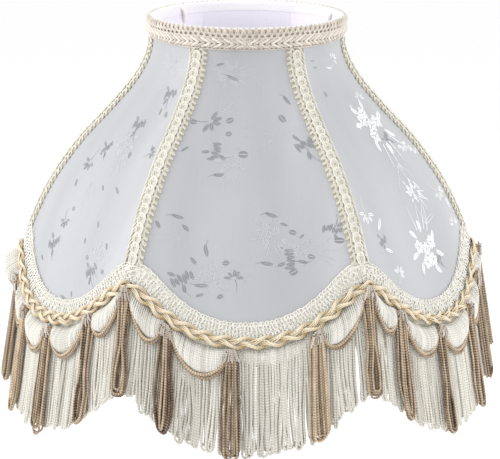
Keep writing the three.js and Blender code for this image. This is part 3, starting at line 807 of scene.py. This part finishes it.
def yarn(name, deep, light, pitch, slant, roughness, sheen, plait=False, depth=0.35,
         blotch=0.15):
    """Spun or plaited yarn. Its turns are pitch mm apart: a chainette's lie in a V and a
    twisted cord's aslant. A cord's own tint, painted shade in the hollows between its turns
    and slow blotches 11 mm long set its colour, with fuzz 1.4 mm across."""
    material, tree, shader = new_material(name, Roughness=roughness, Sheen_Weight=sheen,
                                          Specular_IOR_Level=0.4)
    mark = add_node(tree, "ShaderNodeAttribute", attribute_name="strand")
    split = add_node(tree, "ShaderNodeSeparateXYZ", {0: mark.outputs["Vector"]})
    side = split.outputs["Y"]
    if plait:
        side = add_node(tree, "ShaderNodeMath", {0: side}, operation="ABSOLUTE").outputs[0]
    lean = add_node(tree, "ShaderNodeMath", {0: side, 1: slant}, operation="MULTIPLY")
    turns = add_node(tree, "ShaderNodeMath", {0: split.outputs["X"], 1: 2 * math.pi / pitch,
                     2: lean.outputs[0]}, operation="MULTIPLY_ADD")
    wave = add_node(tree, "ShaderNodeMath", {0: turns.outputs[0]}, operation="SINE")
    ridge = add_node(tree, "ShaderNodeMath", {0: wave.outputs[0], 1: 0.5, 2: 0.5},
                     operation="MULTIPLY_ADD")
    spot = add_node(tree, "ShaderNodeTexCoord")
    fuzz = add_node(tree, "ShaderNodeTexNoise", {"Vector": spot.outputs["Object"],
                    "Scale": 700.0, "Detail": 2.0})
    slow = add_node(tree, "ShaderNodeMapping", {"Vector": mark.outputs["Vector"],
                                                "Scale": (0.09, 0.2, 23.0)})
    patch = add_node(tree, "ShaderNodeTexNoise", {"Vector": slow.outputs["Vector"],
                                                  "Scale": 1.0, "Detail": 1.0})
    # The deep colour in the hollows between turns is painted shade, laid over the cord's own tint.
    tint_and_hollow_shade = add_node(tree, "ShaderNodeMath", {0: ridge.outputs[0], 1: depth,
                      2: split.outputs["Z"]}, operation="MULTIPLY_ADD")
    fuzzy = add_node(tree, "ShaderNodeMath", {0: fuzz.outputs["Fac"], 1: 0.3,
                     2: tint_and_hollow_shade.outputs[0]}, operation="MULTIPLY_ADD")
    mixed = add_node(tree, "ShaderNodeMath", {0: patch.outputs["Fac"], 1: blotch,
                     2: fuzzy.outputs[0]}, operation="MULTIPLY_ADD")
    share = add_node(tree, "ShaderNodeMapRange", {"Value": mixed.outputs[0],
                     "From Min": 0.15 + 0.35 * blotch, "From Max": 1.15 + depth + 0.65 * blotch})
    pattern(tree, shader, share.outputs["Result"], deep, light, ridge.outputs[0], 0.7, 0.0003)
    return material


# Rayon gimp: a glossy wrapped cord, cream, painted khaki in its hollows as painted shade.
gimp = yarn("cream rayon gimp", "BBB5A0", "F6F3EA", 1.8, 1.6, 0.42, 0.2)
# Its woven ground is painted darker than the gimp, as painted shade between the cords.
shaded_braid_ground = yarn("woven braid ground in painted shade", "A39D88", "D3CEBF", 2.0, 1.0, 0.8, 0.2)

rib_table = np.linspace(0, RIB_DEPTH, 400)
rib_arc = np.concatenate(((0,), np.cumsum(np.hypot(np.diff(rib_table),
                                                   np.diff(rib_radius(rib_table))))))


def on_rib(rib, s, u, h):
    """A place on a rib's braid. Its middle is bent smoothly over the ridge of two panels."""
    s, u, h = np.broadcast_arrays(*(np.asarray(value, float) for value in (s, u, h)))
    depth = np.interp(s, rib_arc, rib_table)
    bend = 5.0

    def beside_rib(across):
        right = across > 0
        angle = HALF - np.abs(across) / rib_radius(depth)
        fall = depth + (base_depth(angle) - RIB_DEPTH) * depth / RIB_DEPTH
        return skin(rib + right, np.where(right, -angle, angle), fall, h)

    t = (np.clip(u, -bend, bend) + bend)[..., None] / (2 * bend)
    left = beside_rib(np.full_like(u, -bend))
    right = beside_rib(np.full_like(u, bend))
    ridge = beside_rib(np.zeros_like(u))
    bent = (1 - t) ** 2 * left + 2 * t * (1 - t) * ridge + t**2 * right
    return np.where(np.abs(u)[..., None] < bend, bent, beside_rib(u))


def trochoid(start, end, pitch, middle, half, swing, per_turn, phase):
    """A row of loops along s, as a looping curve: s and u of its points."""
    turns = max(1, round((end - start) / pitch))
    t = np.linspace(0, 2 * math.pi * turns, per_turn * turns + 1)
    s = start + (end - start) * t / t[-1] + swing * np.sin(t + phase)
    return s[None], (middle + half * np.cos(t + phase))[None]


RIB_BRAID_LIFT = 3.1
RIM_REACH = 15.6
BASE_BRAID_WIDTH = 14.0
DROP_PITCH = 7.6
DROP_LENGTH = 10.8
SLANT_PITCH = 3.5
SLANT_RUN = 8.6
for rib in range(PANELS):
    hand = 1 if rib < 3 else -1
    draw = np.random.default_rng(20 + rib)
    start = np.interp(RIM_REACH, rib_table, rib_arc) - 1.0
    end = np.interp(RIB_DEPTH - BASE_BRAID_WIDTH - 0.5, rib_table, rib_arc) + 1.0

    def place(s, u, h):
        return on_rib(rib, s, hand * u, RIB_BRAID_LIFT + h)

    swept = []
    for pitch, middle, half, swing, phase in ((4.7, -5.5, 1.95, 1.6, 0), (4.7, -5.4, 0.9, 0.75, 0),
                                              (4.4, -3.6, 1.5, 1.2, math.pi)):
        s, u = trochoid(start, end, pitch, middle, half, swing, 11, phase)
        s = s + 0.5 * np.sin(s * 0.9 + rib)
        h = 0.55 + 0.1 * (u + 6) + draw.uniform(-0.15, 0.25, s.shape)
        swept.append(laid(place, s, u, h, 0.62, 5, 0.35 + 0.5 * draw.random(s.shape)))
    # Each drop starts as two legs side by side and rounds over the legs of the one above it.
    places = np.arange(start + 1.5, end - 8.0, DROP_PITCH)[:, None]
    t = np.linspace(0, 1, 17)
    # The inner loops of a drop lie lower and are painted darker, as painted shade.
    for wide, long, lift, tint in ((3.1, DROP_LENGTH, 1.1, 0.8), (1.9, 8.8, 1.0, 0.6),
                                   (0.75, 6.6, 0.6, 0.5)):
        s = places + long * (0.5 + 0.5 * np.cos(2 * math.pi * t)) ** 0.8
        s = s + (DROP_LENGTH - long) * 0.25
        u = wide * np.sin(2 * math.pi * t) * (1.15 - 0.55 * np.cos(2 * math.pi * t)) / 1.3 - 0.2
        h = lift + 0.7 * np.sin(math.pi * t) + 0.1 * wide
        swept.append(laid(place, s, u, h, 0.6, 6, tint + 0.2 * draw.random((len(places), 1))))
    places = np.arange(start, end - 8.5, SLANT_PITCH)[:, None]
    t = np.linspace(0, 1, 7)
    s = places + SLANT_RUN * t
    u = 1.7 + 5.0 * np.sin(t * math.pi / 2) ** 1.1
    h = 0.6 + 0.8 * np.sin(math.pi * t) + draw.uniform(-0.1, 0.25, (len(places), 1))
    swept.append(laid(place, s, u, h, 0.64, 5, 0.35 + 0.6 * draw.random((len(places), 1))))
    s = np.linspace(start, end, 90)[None]
    swept.append(laid(place, s, 7.05, 0.55, 0.5, 5, [0.7]))
    long = np.linspace(start, end, 80)[:, None]
    tuck = np.array((-0.45, 0.3, 0.3, 0.3, 0.3, 0.3, 0.3, 0.3, -0.45))
    ground = place(long, np.linspace(-7.2, 7.5, 9)[None, :], tuck).reshape(-1, 3)
    braid = backed(swept, [(ground, 80)], 9, hand < 0, gimp, shaded_braid_ground)
    finish_piece(braid, f"gimp_rib_braid_{rib + 1}", [f"rib_braid_{rib + 1}"])


# ---------------------------------------------------------------- Rim braid
# Gimp in a wider make, faintly pinker, glued round the neck: two rows of round loops that
# curl over the edge, chevrons of thick cords that meet head on at the front, and picots.
# The same rayon, dyed a little pinker: glossy turns over a woven ground that is painted
# darker than their tops, as painted shade between the loops.
beige_gimp = yarn("beige rayon gimp", "AFA08F", "F6EFE5", 1.9, 1.6, 0.38, 0.2)
shaded_beige_ground = yarn("woven beige ground in painted shade", "BBAD99", "E2D7C8", 2.0, 1.0, 0.8, 0.2)
RIM_LIFT = 3.6
rim_length = 2 * math.pi * RING_R


def on_rim(s, u, h):
    """A place on the rim's braid: s from the front round to the right, u down from the wire."""
    s, u, h = np.broadcast_arrays(*(np.asarray(value, float) for value in (s, u, h)))
    turn = s / RING_R
    panel = np.round(turn / (2 * HALF))
    return skin(panel, turn - panel * 2 * HALF, u, RIM_LIFT + h)


draw = np.random.default_rng(31)
swept = []
for pitch, middle, half, swing, base, curl, phase in (
    (4.6, -0.6, 1.95, 1.6, 0.8, 1.3, 0.0),
    (4.6, -0.4, 0.9, 0.75, 0.9, 0.6, 0.0),
    (4.6, 2.9, 1.9, 1.5, 1.0, 0.0, math.pi),
    (4.6, 2.9, 0.85, 0.7, 1.0, 0.0, math.pi),
    (3.3, 13.7, 1.15, 0.95, -0.2, 0.0, 0.0),
):
    loops = round(rim_length / pitch)
    t = np.arange(loops * 11) * 2 * math.pi / 11
    s = rim_length * t / (2 * math.pi * loops) + swing * np.sin(t + phase)
    u = middle + half * np.cos(t + phase)
    h = base - curl * np.maximum(0, -u - 0.6) + 0.3 * np.repeat(draw.random(loops), 11)
    tint = 0.45 + 0.4 * np.repeat(draw.random(loops), 11)
    swept.append(laid(on_rim, s[None], u[None], h[None], 0.58, 5, tint[None], closed=True))
t = np.linspace(-1, 1, 9)
for side in (-1, 1):
    places = side * np.arange(-3.5, rim_length / 2 - 6.0, 4.5)[:, None]
    s = places + side * 7.4 * np.abs(t) ** 1.1
    h = 0.6 + 1.2 * np.cos(t * math.pi / 2) + 0 * s
    tints = np.arange(len(places))[:, None] % 2 * 0.45 + 0.3 + 0.2 * draw.random((len(places), 1))
    swept.append(laid(on_rim, s, 8.7 + 3.9 * t, h, 1.15, 7, tints))
s = rim_length * np.arange(300)[None] / 300
swept.append(laid(on_rim, s, 5.0, 0.7, 0.5, 5, [0.5], closed=True))
swept.append(laid(on_rim, s, 12.5, 0.7, 0.5, 5, [0.5], closed=True))
turn = np.linspace(0, rim_length, 241)[:, None]
tuck = np.array((0.15,) * 8 + (-1.0,))
ground = on_rim(turn, np.linspace(-1.4, 14.4, 9)[None, :], tuck).reshape(-1, 3)
braid = backed(swept, [(ground, 241)], 9, False, beige_gimp, shaded_beige_ground)
finish_piece(braid, "gimp_rim_braid", ["rim_braid"])


# ---------------------------------------------------------------- Base braid
# A soft crocheted braid 14 mm wide that follows the scallops above the base wire. Five rows
# of fuzzy cotton loops lie so close that they read as one bumpy white band.
# Cotton yarn is matt and fuzzy, so the shade painted in its hollows is kept pale.
crochet = yarn("white cotton crochet", "DDDACE", "FDFCF7", 2.2, 2.0, 0.75, 0.4)
crochet_ground = yarn("white cotton ground", "DBD8CC", "F5F3EA", 2.0, 1.0, 0.85, 0.3)
base_angles = np.linspace(-HALF, HALF, 600)
base_arc = np.concatenate(((0,), np.cumsum(np.hypot(np.diff(base_angles) * BASE_R,
                                                    np.diff(base_depth(base_angles))))))
panel_run = base_arc[-1]
base_run = PANELS * panel_run


def on_base(lift):
    """Places beside the base wire: s along it from the first panel's left rib, u up."""
    def place(s, u, h):
        s, u, h = np.broadcast_arrays(*(np.asarray(value, float) for value in (s, u, h)))
        panel = np.floor(s / panel_run)
        angle = np.interp(s - panel * panel_run, base_arc, base_angles)
        return beside_base(panel, angle, u, lift + h)
    return place


EDGE_LIFT = 3.6
CROCHET_PITCH = 3.1
CROCHET_ROWS = (1.0, 3.8, 6.6, 9.4, 12.2)
CROCHET_YARN = 0.6
draw = np.random.default_rng(11)
place = on_base(EDGE_LIFT)
swept = []
for row, middle in enumerate(CROCHET_ROWS):
    loops = round(base_run / CROCHET_PITCH)
    t = np.arange(loops * 8) * 2 * math.pi / 8
    slow = np.repeat(draw.uniform(-1, 1, loops), 8)
    s = base_run * t / (2 * math.pi * loops) + 1.2 * np.sin(t + row) + 0.8 * np.roll(slow, 77)
    u = middle + (1.6 + 0.4 * slow) * np.cos(t + row) + 0.3 * np.roll(slow, 31)
    h = 0.75 + 0.3 * np.sin(2 * t + row) + 0.25 * np.roll(slow, 5)
    h = h - 1.0 * np.clip((u - 11) / 3, 0, 1)
    tint = 0.5 + 0.3 * np.roll(slow, 20)
    swept.append(laid(place, s[None], u[None], h[None], CROCHET_YARN, 4, tint[None],
                      closed=True))
run = np.linspace(0, base_run, 481)[:, None]
tuck = np.array((0.25,) * 6 + (-1.0,))
ground = place(run, np.linspace(-0.6, 13.8, 7)[None, :], tuck).reshape(-1, 3)
braid = backed(swept, [(ground, 481)], 7, True, crochet, crochet_ground)
finish_piece(braid, "crochet_base_braid", ["base_braid"])


# ---------------------------------------------------------------- Gold cord
# A flat plait of three bundles, each of three glossy rayon plies, glued along the base wire
# over the lower edge of the crochet. Its lobes swing up and down about 15 mm apart.
# Bright rayon, twisted: the smoothest yarn here, with a hard shine along each ply. Each ply is
# painted lighter where it rides high and darker where it dips, as painted light and shade.
gold_rayon = yarn("pale gold rayon plait", "A08143", "FFF4DC", 2.4, 2.2, 0.22, 0.05, depth=0.3,
                  blotch=0.3)
CORD_LIFT = 5.6
PLAIT_LENGTH = 46.0
PLAIT_SWING = 3.1
PLIES_APART = 1.15
PLY_RADIUS = 0.58
place = on_base(CORD_LIFT)
swings = round(base_run / PLAIT_LENGTH)
t = np.arange(swings * 28) * 2 * math.pi / 28
run = base_run * t / (2 * math.pi * swings)
# The cord cuts the corner where two scallops meet, so it runs lower under every rib.
off_rib = (run + panel_run / 2) % panel_run - panel_run / 2
sag = 1.2 + 2.8 * np.exp(-(off_rib / 13) ** 2)
wave = 0.45 * np.sin(3 * t)
swept = []
for bundle in range(3):
    phase = t + bundle * 2 * math.pi / 3
    for ply in (-1, 0, 1):
        swing = PLAIT_SWING * np.sin(phase) * (0.75 + 0.25 * np.sin(phase) ** 2)
        u = swing + PLIES_APART * ply * (0.8 + 0.2 * np.cos(2 * phase)) - sag - wave
        h = 1.1 + 1.0 * np.sin(2 * phase) + 0.25 * (1 - abs(ply))
        # Painted light where a ply rides high, painted shade where it dips, and a small step in
        # tone from ply to ply.
        tint = 0.5 + 0.15 * ply + 0.35 * np.sin(2 * phase)
        swept.append(laid(place, run[None], u[None], h[None], PLY_RADIUS, 6, tint[None],
                          closed=True))
# A strip of the cord's own backing closes the gaps between its lobes.
ring = np.append(np.arange(len(run)), 0)
back_run = np.append(run, base_run)[:, None]
back_u = np.linspace(-1.6, 1.6, 5)[None, :] - sag[ring][:, None]
ground = place(back_run, back_u, -0.35).reshape(-1, 3)
braid = backed(swept, [(ground, len(ring))], 5, True, gold_rayon, crochet_ground)
finish_piece(braid, "gold_cord_braid", ["cord_braid"])


# ---------------------------------------------------------------- Header and pads
# The fringe's woven header, with a pad of floss puffed out over each bay between two tassels.
# The floss runs down over the pad in close ridges and tucks in along its curved lower edge.
HEADER_OUT = 5.2
HEADER_HEIGHT = 12.0
PAD_BULGE = 8.4
SWAG_DEPTH = 14.0
SKIRT_TOP = 16.0
FRINGE_LENGTH = 85.0
SKIRT_OUT = 8.0
SKIRT_FLARE = 11.0
RIDGE_PITCH = 1.2
RIDGE_RADIUS = 0.85
TASSEL_HEAD = 3.5
TASSEL_SHARES = ((0, 0.18, 0.44, 0.78), (0, 0.16, 0.41, 0.7, 0.87), (0, 0.22, 0.5, 0.78),
                 (0, 0.22, 0.5, 0.78), (0, 0.22, 0.5, 0.78), (0.15, 0.31, 0.55, 0.81))
PLAIN_BAY = (0, 2)
FULL_BAY = (4, 3)


def hanging(panel, angle, offset, drop):
    """A point of the fringe: offset out from the base radius, drop down from the wire."""
    azimuth = 2 * HALF * panel + angle
    radius = BASE_R + offset
    across = radius * np.sin(azimuth)
    depth = base_depth(angle) + drop
    return np.stack((across, -radius * np.cos(azimuth), SPIDER_DROP - depth + 0 * across), -1)


def hung(panel, angle, offset, drop, radius, sides, tints):
    """Cords of the fringe, given the angle, offset and drop all along each."""
    paths = hanging(panel, angle, offset, drop)
    up = hanging(panel, angle, offset + 10, drop) - paths
    return sweep(paths, up, radius, sides, tints)


def skirt_face(drop):
    """Offset of the front of the fringe's strands at a drop."""
    return SKIRT_OUT + SKIRT_FLARE * (drop - SKIRT_TOP) / (FRINGE_LENGTH - SKIRT_TOP)


def bays(panel):
    """Angles of each bay's two tassels."""
    shares = TASSEL_SHARES[panel] + (1 + TASSEL_SHARES[(panel + 1) % PANELS][0],)
    return [((2 * a - 1) * HALF, (2 * b - 1) * HALF) for a, b in zip(shares, shares[1:])]


def swag_edge(bay, angle, depth=SWAG_DEPTH):
    """Drop of a pad's lower edge at an angle inside its bay."""
    inset = (TASSEL_HEAD + 0.6) / BASE_R
    x = np.clip((angle - bay[0] - inset) / (bay[1] - bay[0] - 2 * inset), 0, 1)
    return HEADER_HEIGHT + depth * 4 * x * (1 - x)


# Soft cotton floss for the pads, over the cotton tape of the header.
floss = yarn("white cotton floss", "B9B5A9", "FBF9F3", 1.9, 1.6, 0.6, 0.3, plait=True,
             depth=0.55, blotch=0.4)
header_cloth = yarn("woven fringe header", "B4B1A2", "DDD9CE", 2.0, 1.0, 0.8, 0.3)
out_at = np.array((0.0, 0.5, 0.93, 1.0, 0.98, 0.86, 0.5))
fall_at = np.array((0.16, 0.3, 0.5, 0.66, 0.82, 0.94, 1.0))
for panel in range(PANELS):
    draw = np.random.default_rng(60 + panel)
    swept, cores = [], []
    for number, bay in enumerate(bays(panel)):
        plain = (panel, number) == PLAIN_BAY
        inset = (TASSEL_HEAD - 0.8) / BASE_R
        count = round((bay[1] - bay[0] - 2 * inset) * BASE_R / RIDGE_PITCH)
        angle = np.linspace(bay[0] + inset, bay[1] - inset, count)
        x = np.linspace(0, 1, count)
        full = np.minimum(1, 1.25 * np.sin(math.pi * x) ** 0.45)[:, None]
        full = full * (0.3 if plain else 1.8 if (panel, number) == FULL_BAY else 1.0)
        low = swag_edge(bay, angle, 5.0 if plain else SWAG_DEPTH)[:, None]
        low = low + draw.uniform(-0.3, 0.3, (count, 1))
        drop = 1.0 + (low - 1.0) * fall_at
        lean = (x[:, None] - 0.5) * 3.0 * fall_at / BASE_R
        offset = HEADER_OUT - 0.6 + PAD_BULGE * full * out_at + draw.uniform(-0.2, 0.2, (count, 1))
        paths = hanging(panel, angle[:, None] + lean, offset, drop)
        up = hanging(panel, angle[:, None], offset + 10, drop - 4) - paths
        swept.append(sweep(paths, up, RIDGE_RADIUS, 5, 0.2 + 0.65 * draw.random((count, 1))))
        core = hanging(panel, angle[:, None] + lean, offset - 0.7, drop)
        cores.append((core.reshape(-1, 3), count))
    # Under the floss lie the header's tape and, in each bay, the face of the pad itself.
    angle = np.linspace(-HALF, HALF, 60)[:, None]
    drop = np.linspace(0.5, HEADER_HEIGHT, 7)[None, :]
    cores.append((hanging(panel, angle, HEADER_OUT - 0.4 + 0 * drop, drop + 0 * angle)
                  .reshape(-1, 3), 60))
    header = backed(swept, cores, 7, True, floss, header_cloth)
    finish_piece(header, f"floss_pads_{panel + 1}", [f"fringe_header_{panel + 1}"])


# ---------------------------------------------------------------- Fringe strands
# Ivory chainette 2.1 mm thick in long loops, two deep, sewn to the header. The loops hang
# straight, draw together in locks towards their ends and are never quite the same length.
# Rayon chainette: a chain of stitches 2.1 mm long, silky on top, with painted grey shade between.
chainette = yarn("ivory rayon chainette", "9F9A8E", "F3F0E6", 2.1, 1.5, 0.4, 0.25, plait=True,
                 depth=0.55, blotch=0.3)
STRAND = 1.05
LOOPS_ACROSS = 52
LEG_POINTS = 13
for panel in range(PANELS):
    draw = np.random.default_rng(80 + panel)
    # Locks 5 to 14 mm wide. Both layers draw towards the same middles, so gaps open between.
    edges = [-HALF]
    while edges[-1] < HALF:
        edges.append(edges[-1] + draw.uniform(5, 14) / BASE_R)
    edges = np.array(edges)
    edges = -HALF + (edges + HALF) * 2 * HALF / (edges[-1] + HALF)
    start, stop = bays(panel)[PLAIN_BAY[1]]
    swept = []
    for layer in range(2):
        count = LOOPS_ACROSS
        angle = (np.arange(count) + 0.5 + 0.25 * layer) / count * 2 * HALF - HALF
        angle = angle + draw.normal(0, 0.4, count) / BASE_R
        lock = np.clip(np.searchsorted(edges, angle) - 1, 0, len(edges) - 2)
        centre = (edges[lock] + edges[lock + 1])[:, None] / 2
        length = FRINGE_LENGTH - 1.0 + draw.normal(0, 1.7, (count, 1)) - 1.5 * layer
        t = np.linspace(0, 1, LEG_POINTS)
        sway = draw.normal(0, 1.0, (count, 1)) * np.sin(math.pi * t)
        sway = sway + draw.normal(0, 0.45, (count, 1)) * np.sin(2 * math.pi * t)
        sway = (sway + draw.normal(0, 0.8, (count, 1)) * t**2) / BASE_R
        middle = angle[:, None] + (centre - angle[:, None]) * 0.42 * t**1.3 + sway
        open_end = draw.uniform(-0.1, 1.5, (count, 1))
        spread = (1.05 + open_end * t**3) / BASE_R
        top = HEADER_HEIGHT - 3
        drop = top + (length - top - 3) * t
        turn = np.linspace(0, math.pi, 6)[1:-1]
        side = spread[:, -1:] * np.cos(turn)
        u = np.hstack((middle - spread, middle[:, -1:] - side, (middle + spread)[:, ::-1]))
        d = np.hstack((drop, drop[:, -1:] + 2.6 * np.sin(turn), drop[:, ::-1]))
        deep = 1.2 + 1.7 * layer + draw.uniform(-0.4, 0.4, (count, 1))
        bare = (panel == PLAIN_BAY[0]) & (angle > start + 0.02) & (angle < stop - 0.02)
        rise = np.where(bare[:, None], -5.0 * np.maximum(0, 1 - (d - 9) / 25), 0)
        # The back layer is painted a little darker than the front, as painted shade.
        tint = draw.uniform(0.3, 0.85, (count, 1)) - 0.05 * layer
        swept.append(hung(panel, u, skirt_face(d) - deep, d + rise, STRAND, 6, tint))
    points, faces, strand = join(swept)
    fringe = make_mesh(points, faces, [chainette], strand=strand)
    finish_piece(fringe, f"chainette_fringe_{panel + 1}",
                 [f"fringe_skirt_{panel + 1}"])


# ---------------------------------------------------------------- Tassels and swag cords
# Loops of variegated taupe chainette, gathered under the gold cord and knotted there. Two
# more lengths of it swag from tassel to tassel along the lower edge of each pad.
# The tassels' chainette is dyed in uneven lengths, from brown to pale tan, with painted shade
# in the hollows of its stitches. Their heads are pale floss, and the knots under it a dark thread.
taupe = yarn("taupe rayon chainette", "38200D", "E6CFB0", 2.1, 1.6, 0.38, 0.02, plait=True,
             depth=1.0, blotch=1.5)
mauve = yarn("pale mauve floss", "75614F", "F1E9DF", 1.6, 1.6, 0.55, 0.2, depth=0.6, blotch=0.5)
knot_thread = yarn("dark knot thread", "3E322A", "7E7166", 1.0, 1.0, 0.6, 0.1)
TASSEL_LENGTH = 84.0
TASSEL_LOOPS = 7
LOOP_RADIUS = 0.88
HEAD_ENDS = 8
KNOTS = 5
SWAG_RADIUS = 1.2
SWAG_SPACING = 2.5
# Half widths down a tassel. One hangs straight, one closes to a bulb, one gapes as a noose.
tassel_styles = ((2, 1, 0, 0), (2, 1, 2, 2, 0), (2, 1, 0, 2), (0, 2, 1, 0),
                 (2, 0, 1, 2), (0, 1, 0, 2))
tassel_shapes = (
    ((0, 2.2), (0.12, 4.6), (0.35, 5.2), (0.7, 6.2), (1, 6.6)),
    ((0, 2.2), (0.12, 4.4), (0.35, 5.0), (0.75, 7.2), (0.9, 6.6), (1, 4.2)),
    ((0, 2.2), (0.12, 5.2), (0.3, 4.2), (0.55, 3.4), (0.8, 5.6), (1, 4.6)),
)
for panel in range(PANELS):
    draw = np.random.default_rng(100 + panel)
    swept, heads, knots = [], [], []
    for number, bay in enumerate(bays(panel)):
        loops = TASSEL_LOOPS
        style = tassel_styles[panel][number]
        t = np.linspace(0, 1, 17)
        shape = np.array(tassel_shapes[style])
        wide = np.interp(t, shape[:, 0], shape[:, 1])
        # The legs of a noose keep to its two sides low down; the rest stay evenly spread.
        order = np.linspace(-1, 1, 2 * loops) + draw.normal(0, 0.07, 2 * loops)
        apart = np.sign(order) * np.abs(order) ** 0.4
        gape = np.clip((t - 0.55) / 0.3, 0, 1) * (style == 2)
        legs = order[:, None] * (1 - gape) + apart[:, None] * gape
        length = TASSEL_LENGTH + draw.normal(0, 1.8, (loops, 1))
        drop = 4.0 + (length - 4.0 - 3) * t
        sway = draw.normal(0, 0.5, (loops, 1)) * np.sin(math.pi * t)
        a = legs[:loops] * wide + sway
        b = legs[loops:][::-1] * wide + sway
        turn = np.linspace(0, math.pi, 8)[1:-1]
        bottom = (a[:, -1:] + b[:, -1:]) / 2 + (a[:, -1:] - b[:, -1:]) / 2 * np.cos(turn)
        round_drop = np.minimum(np.abs(b[:, -1:] - a[:, -1:]) / 2, 4.0)
        u = np.hstack((a, bottom, b[:, ::-1]))
        d = np.hstack((drop, drop[:, -1:] + round_drop * np.sin(turn), drop[:, ::-1]))
        depth = (np.arange(loops) % 3)[:, None]
        off = np.maximum(HEADER_OUT + 1.5, skirt_face(d)) + 1.2 + 1.2 * depth
        off = off + 1.6 * np.maximum(0, 1 - (u / 8) ** 2)
        tint = draw.uniform(-0.45, 1.05, (loops, 1))
        pale = np.maximum(0, 1 - np.hstack((t, np.ones(6), t[::-1])) / 0.13)
        swept.append(hung(panel, bay[0] + u / BASE_R, off, d, LOOP_RADIUS, 6, tint + 0.9 * pale))
        # The head: pale floss that fans out from under the gold cord over the gathered loops.
        ends = (HEAD_ENDS, 1)
        fan = np.linspace(-1, 1, HEAD_ENDS)[:, None] + draw.normal(0, 0.08, ends)
        t = np.linspace(0, 1, 7)
        u = fan * (2.0 + 3.4 * t)
        d = 2.0 + (draw.uniform(9, 13, ends) - 2.0) * t
        off = HEADER_OUT + 6.6 + 2.4 * np.sin(math.pi * t * 0.6) - 0.06 * u**2
        tint = 0.1 + 0.8 * draw.random(ends)
        heads.append(hung(panel, bay[0] + u / BASE_R, off, d, 0.62, 5, tint))
        if (panel, number) != PLAIN_BAY:
            inset = 1.6 / BASE_R
            x = np.linspace(0, 1, 26)
            angle = bay[0] + inset + (bay[1] - bay[0] - 2 * inset) * x
            for cord in range(2):
                loose = 0.7 * np.sin(math.pi * x) * np.sin(draw.uniform(4, 9) * x + 3 * cord)
                d = swag_edge(bay, angle) + 0.9 + SWAG_SPACING * cord + loose
                d = d - 7.0 * (np.exp(-x / 0.06) + np.exp((x - 1) / 0.06))
                swell = np.sin(math.pi * x) * (5.0 if (panel, number) == FULL_BAY else 0.0)
                off = skirt_face(d) + 3.4 - 0.8 * cord + swell
                swept.append(hung(panel, angle[None], off[None], d[None], SWAG_RADIUS, 6,
                                  [0.15 + 0.6 * (1 - cord)]))
        for k in range(KNOTS):
            u = draw.uniform(-4.0, 4.0)
            knots.append(hanging(panel, bay[0] + u / BASE_R, HEADER_OUT + 8.6 - 0.08 * u**2,
                                 3.0 + 7 * draw.random()))
    cord_faces = sum(len(f) for _, group, _ in swept for f in group)
    lumps = []
    for knot in knots:
        line = knot + np.linspace(-0.7, 0.7, 5)[:, None] * unit(draw.normal(size=3))
        lumps.append(sweep(line[None], np.full((1, 5, 3), (0.1, -1.0, 0.3)),
                           np.array((0.25, 0.5, 0.6, 0.5, 0.25)), 6, [0.3]))
    head_faces = sum(len(f) for _, group, _ in heads for f in group)
    points, faces, strand = join(swept + heads + lumps)
    slots = np.full(sum(len(f) for f in faces), 2)
    slots[:cord_faces + head_faces] = 1
    slots[:cord_faces] = 0
    tassels = make_mesh(points, faces, [taupe, mauve, knot_thread], strand=strand, slots=slots)
    finish_piece(tassels, f"taupe_tassels_{panel + 1}",
                 [f"tassel_swag_{panel + 1}"])
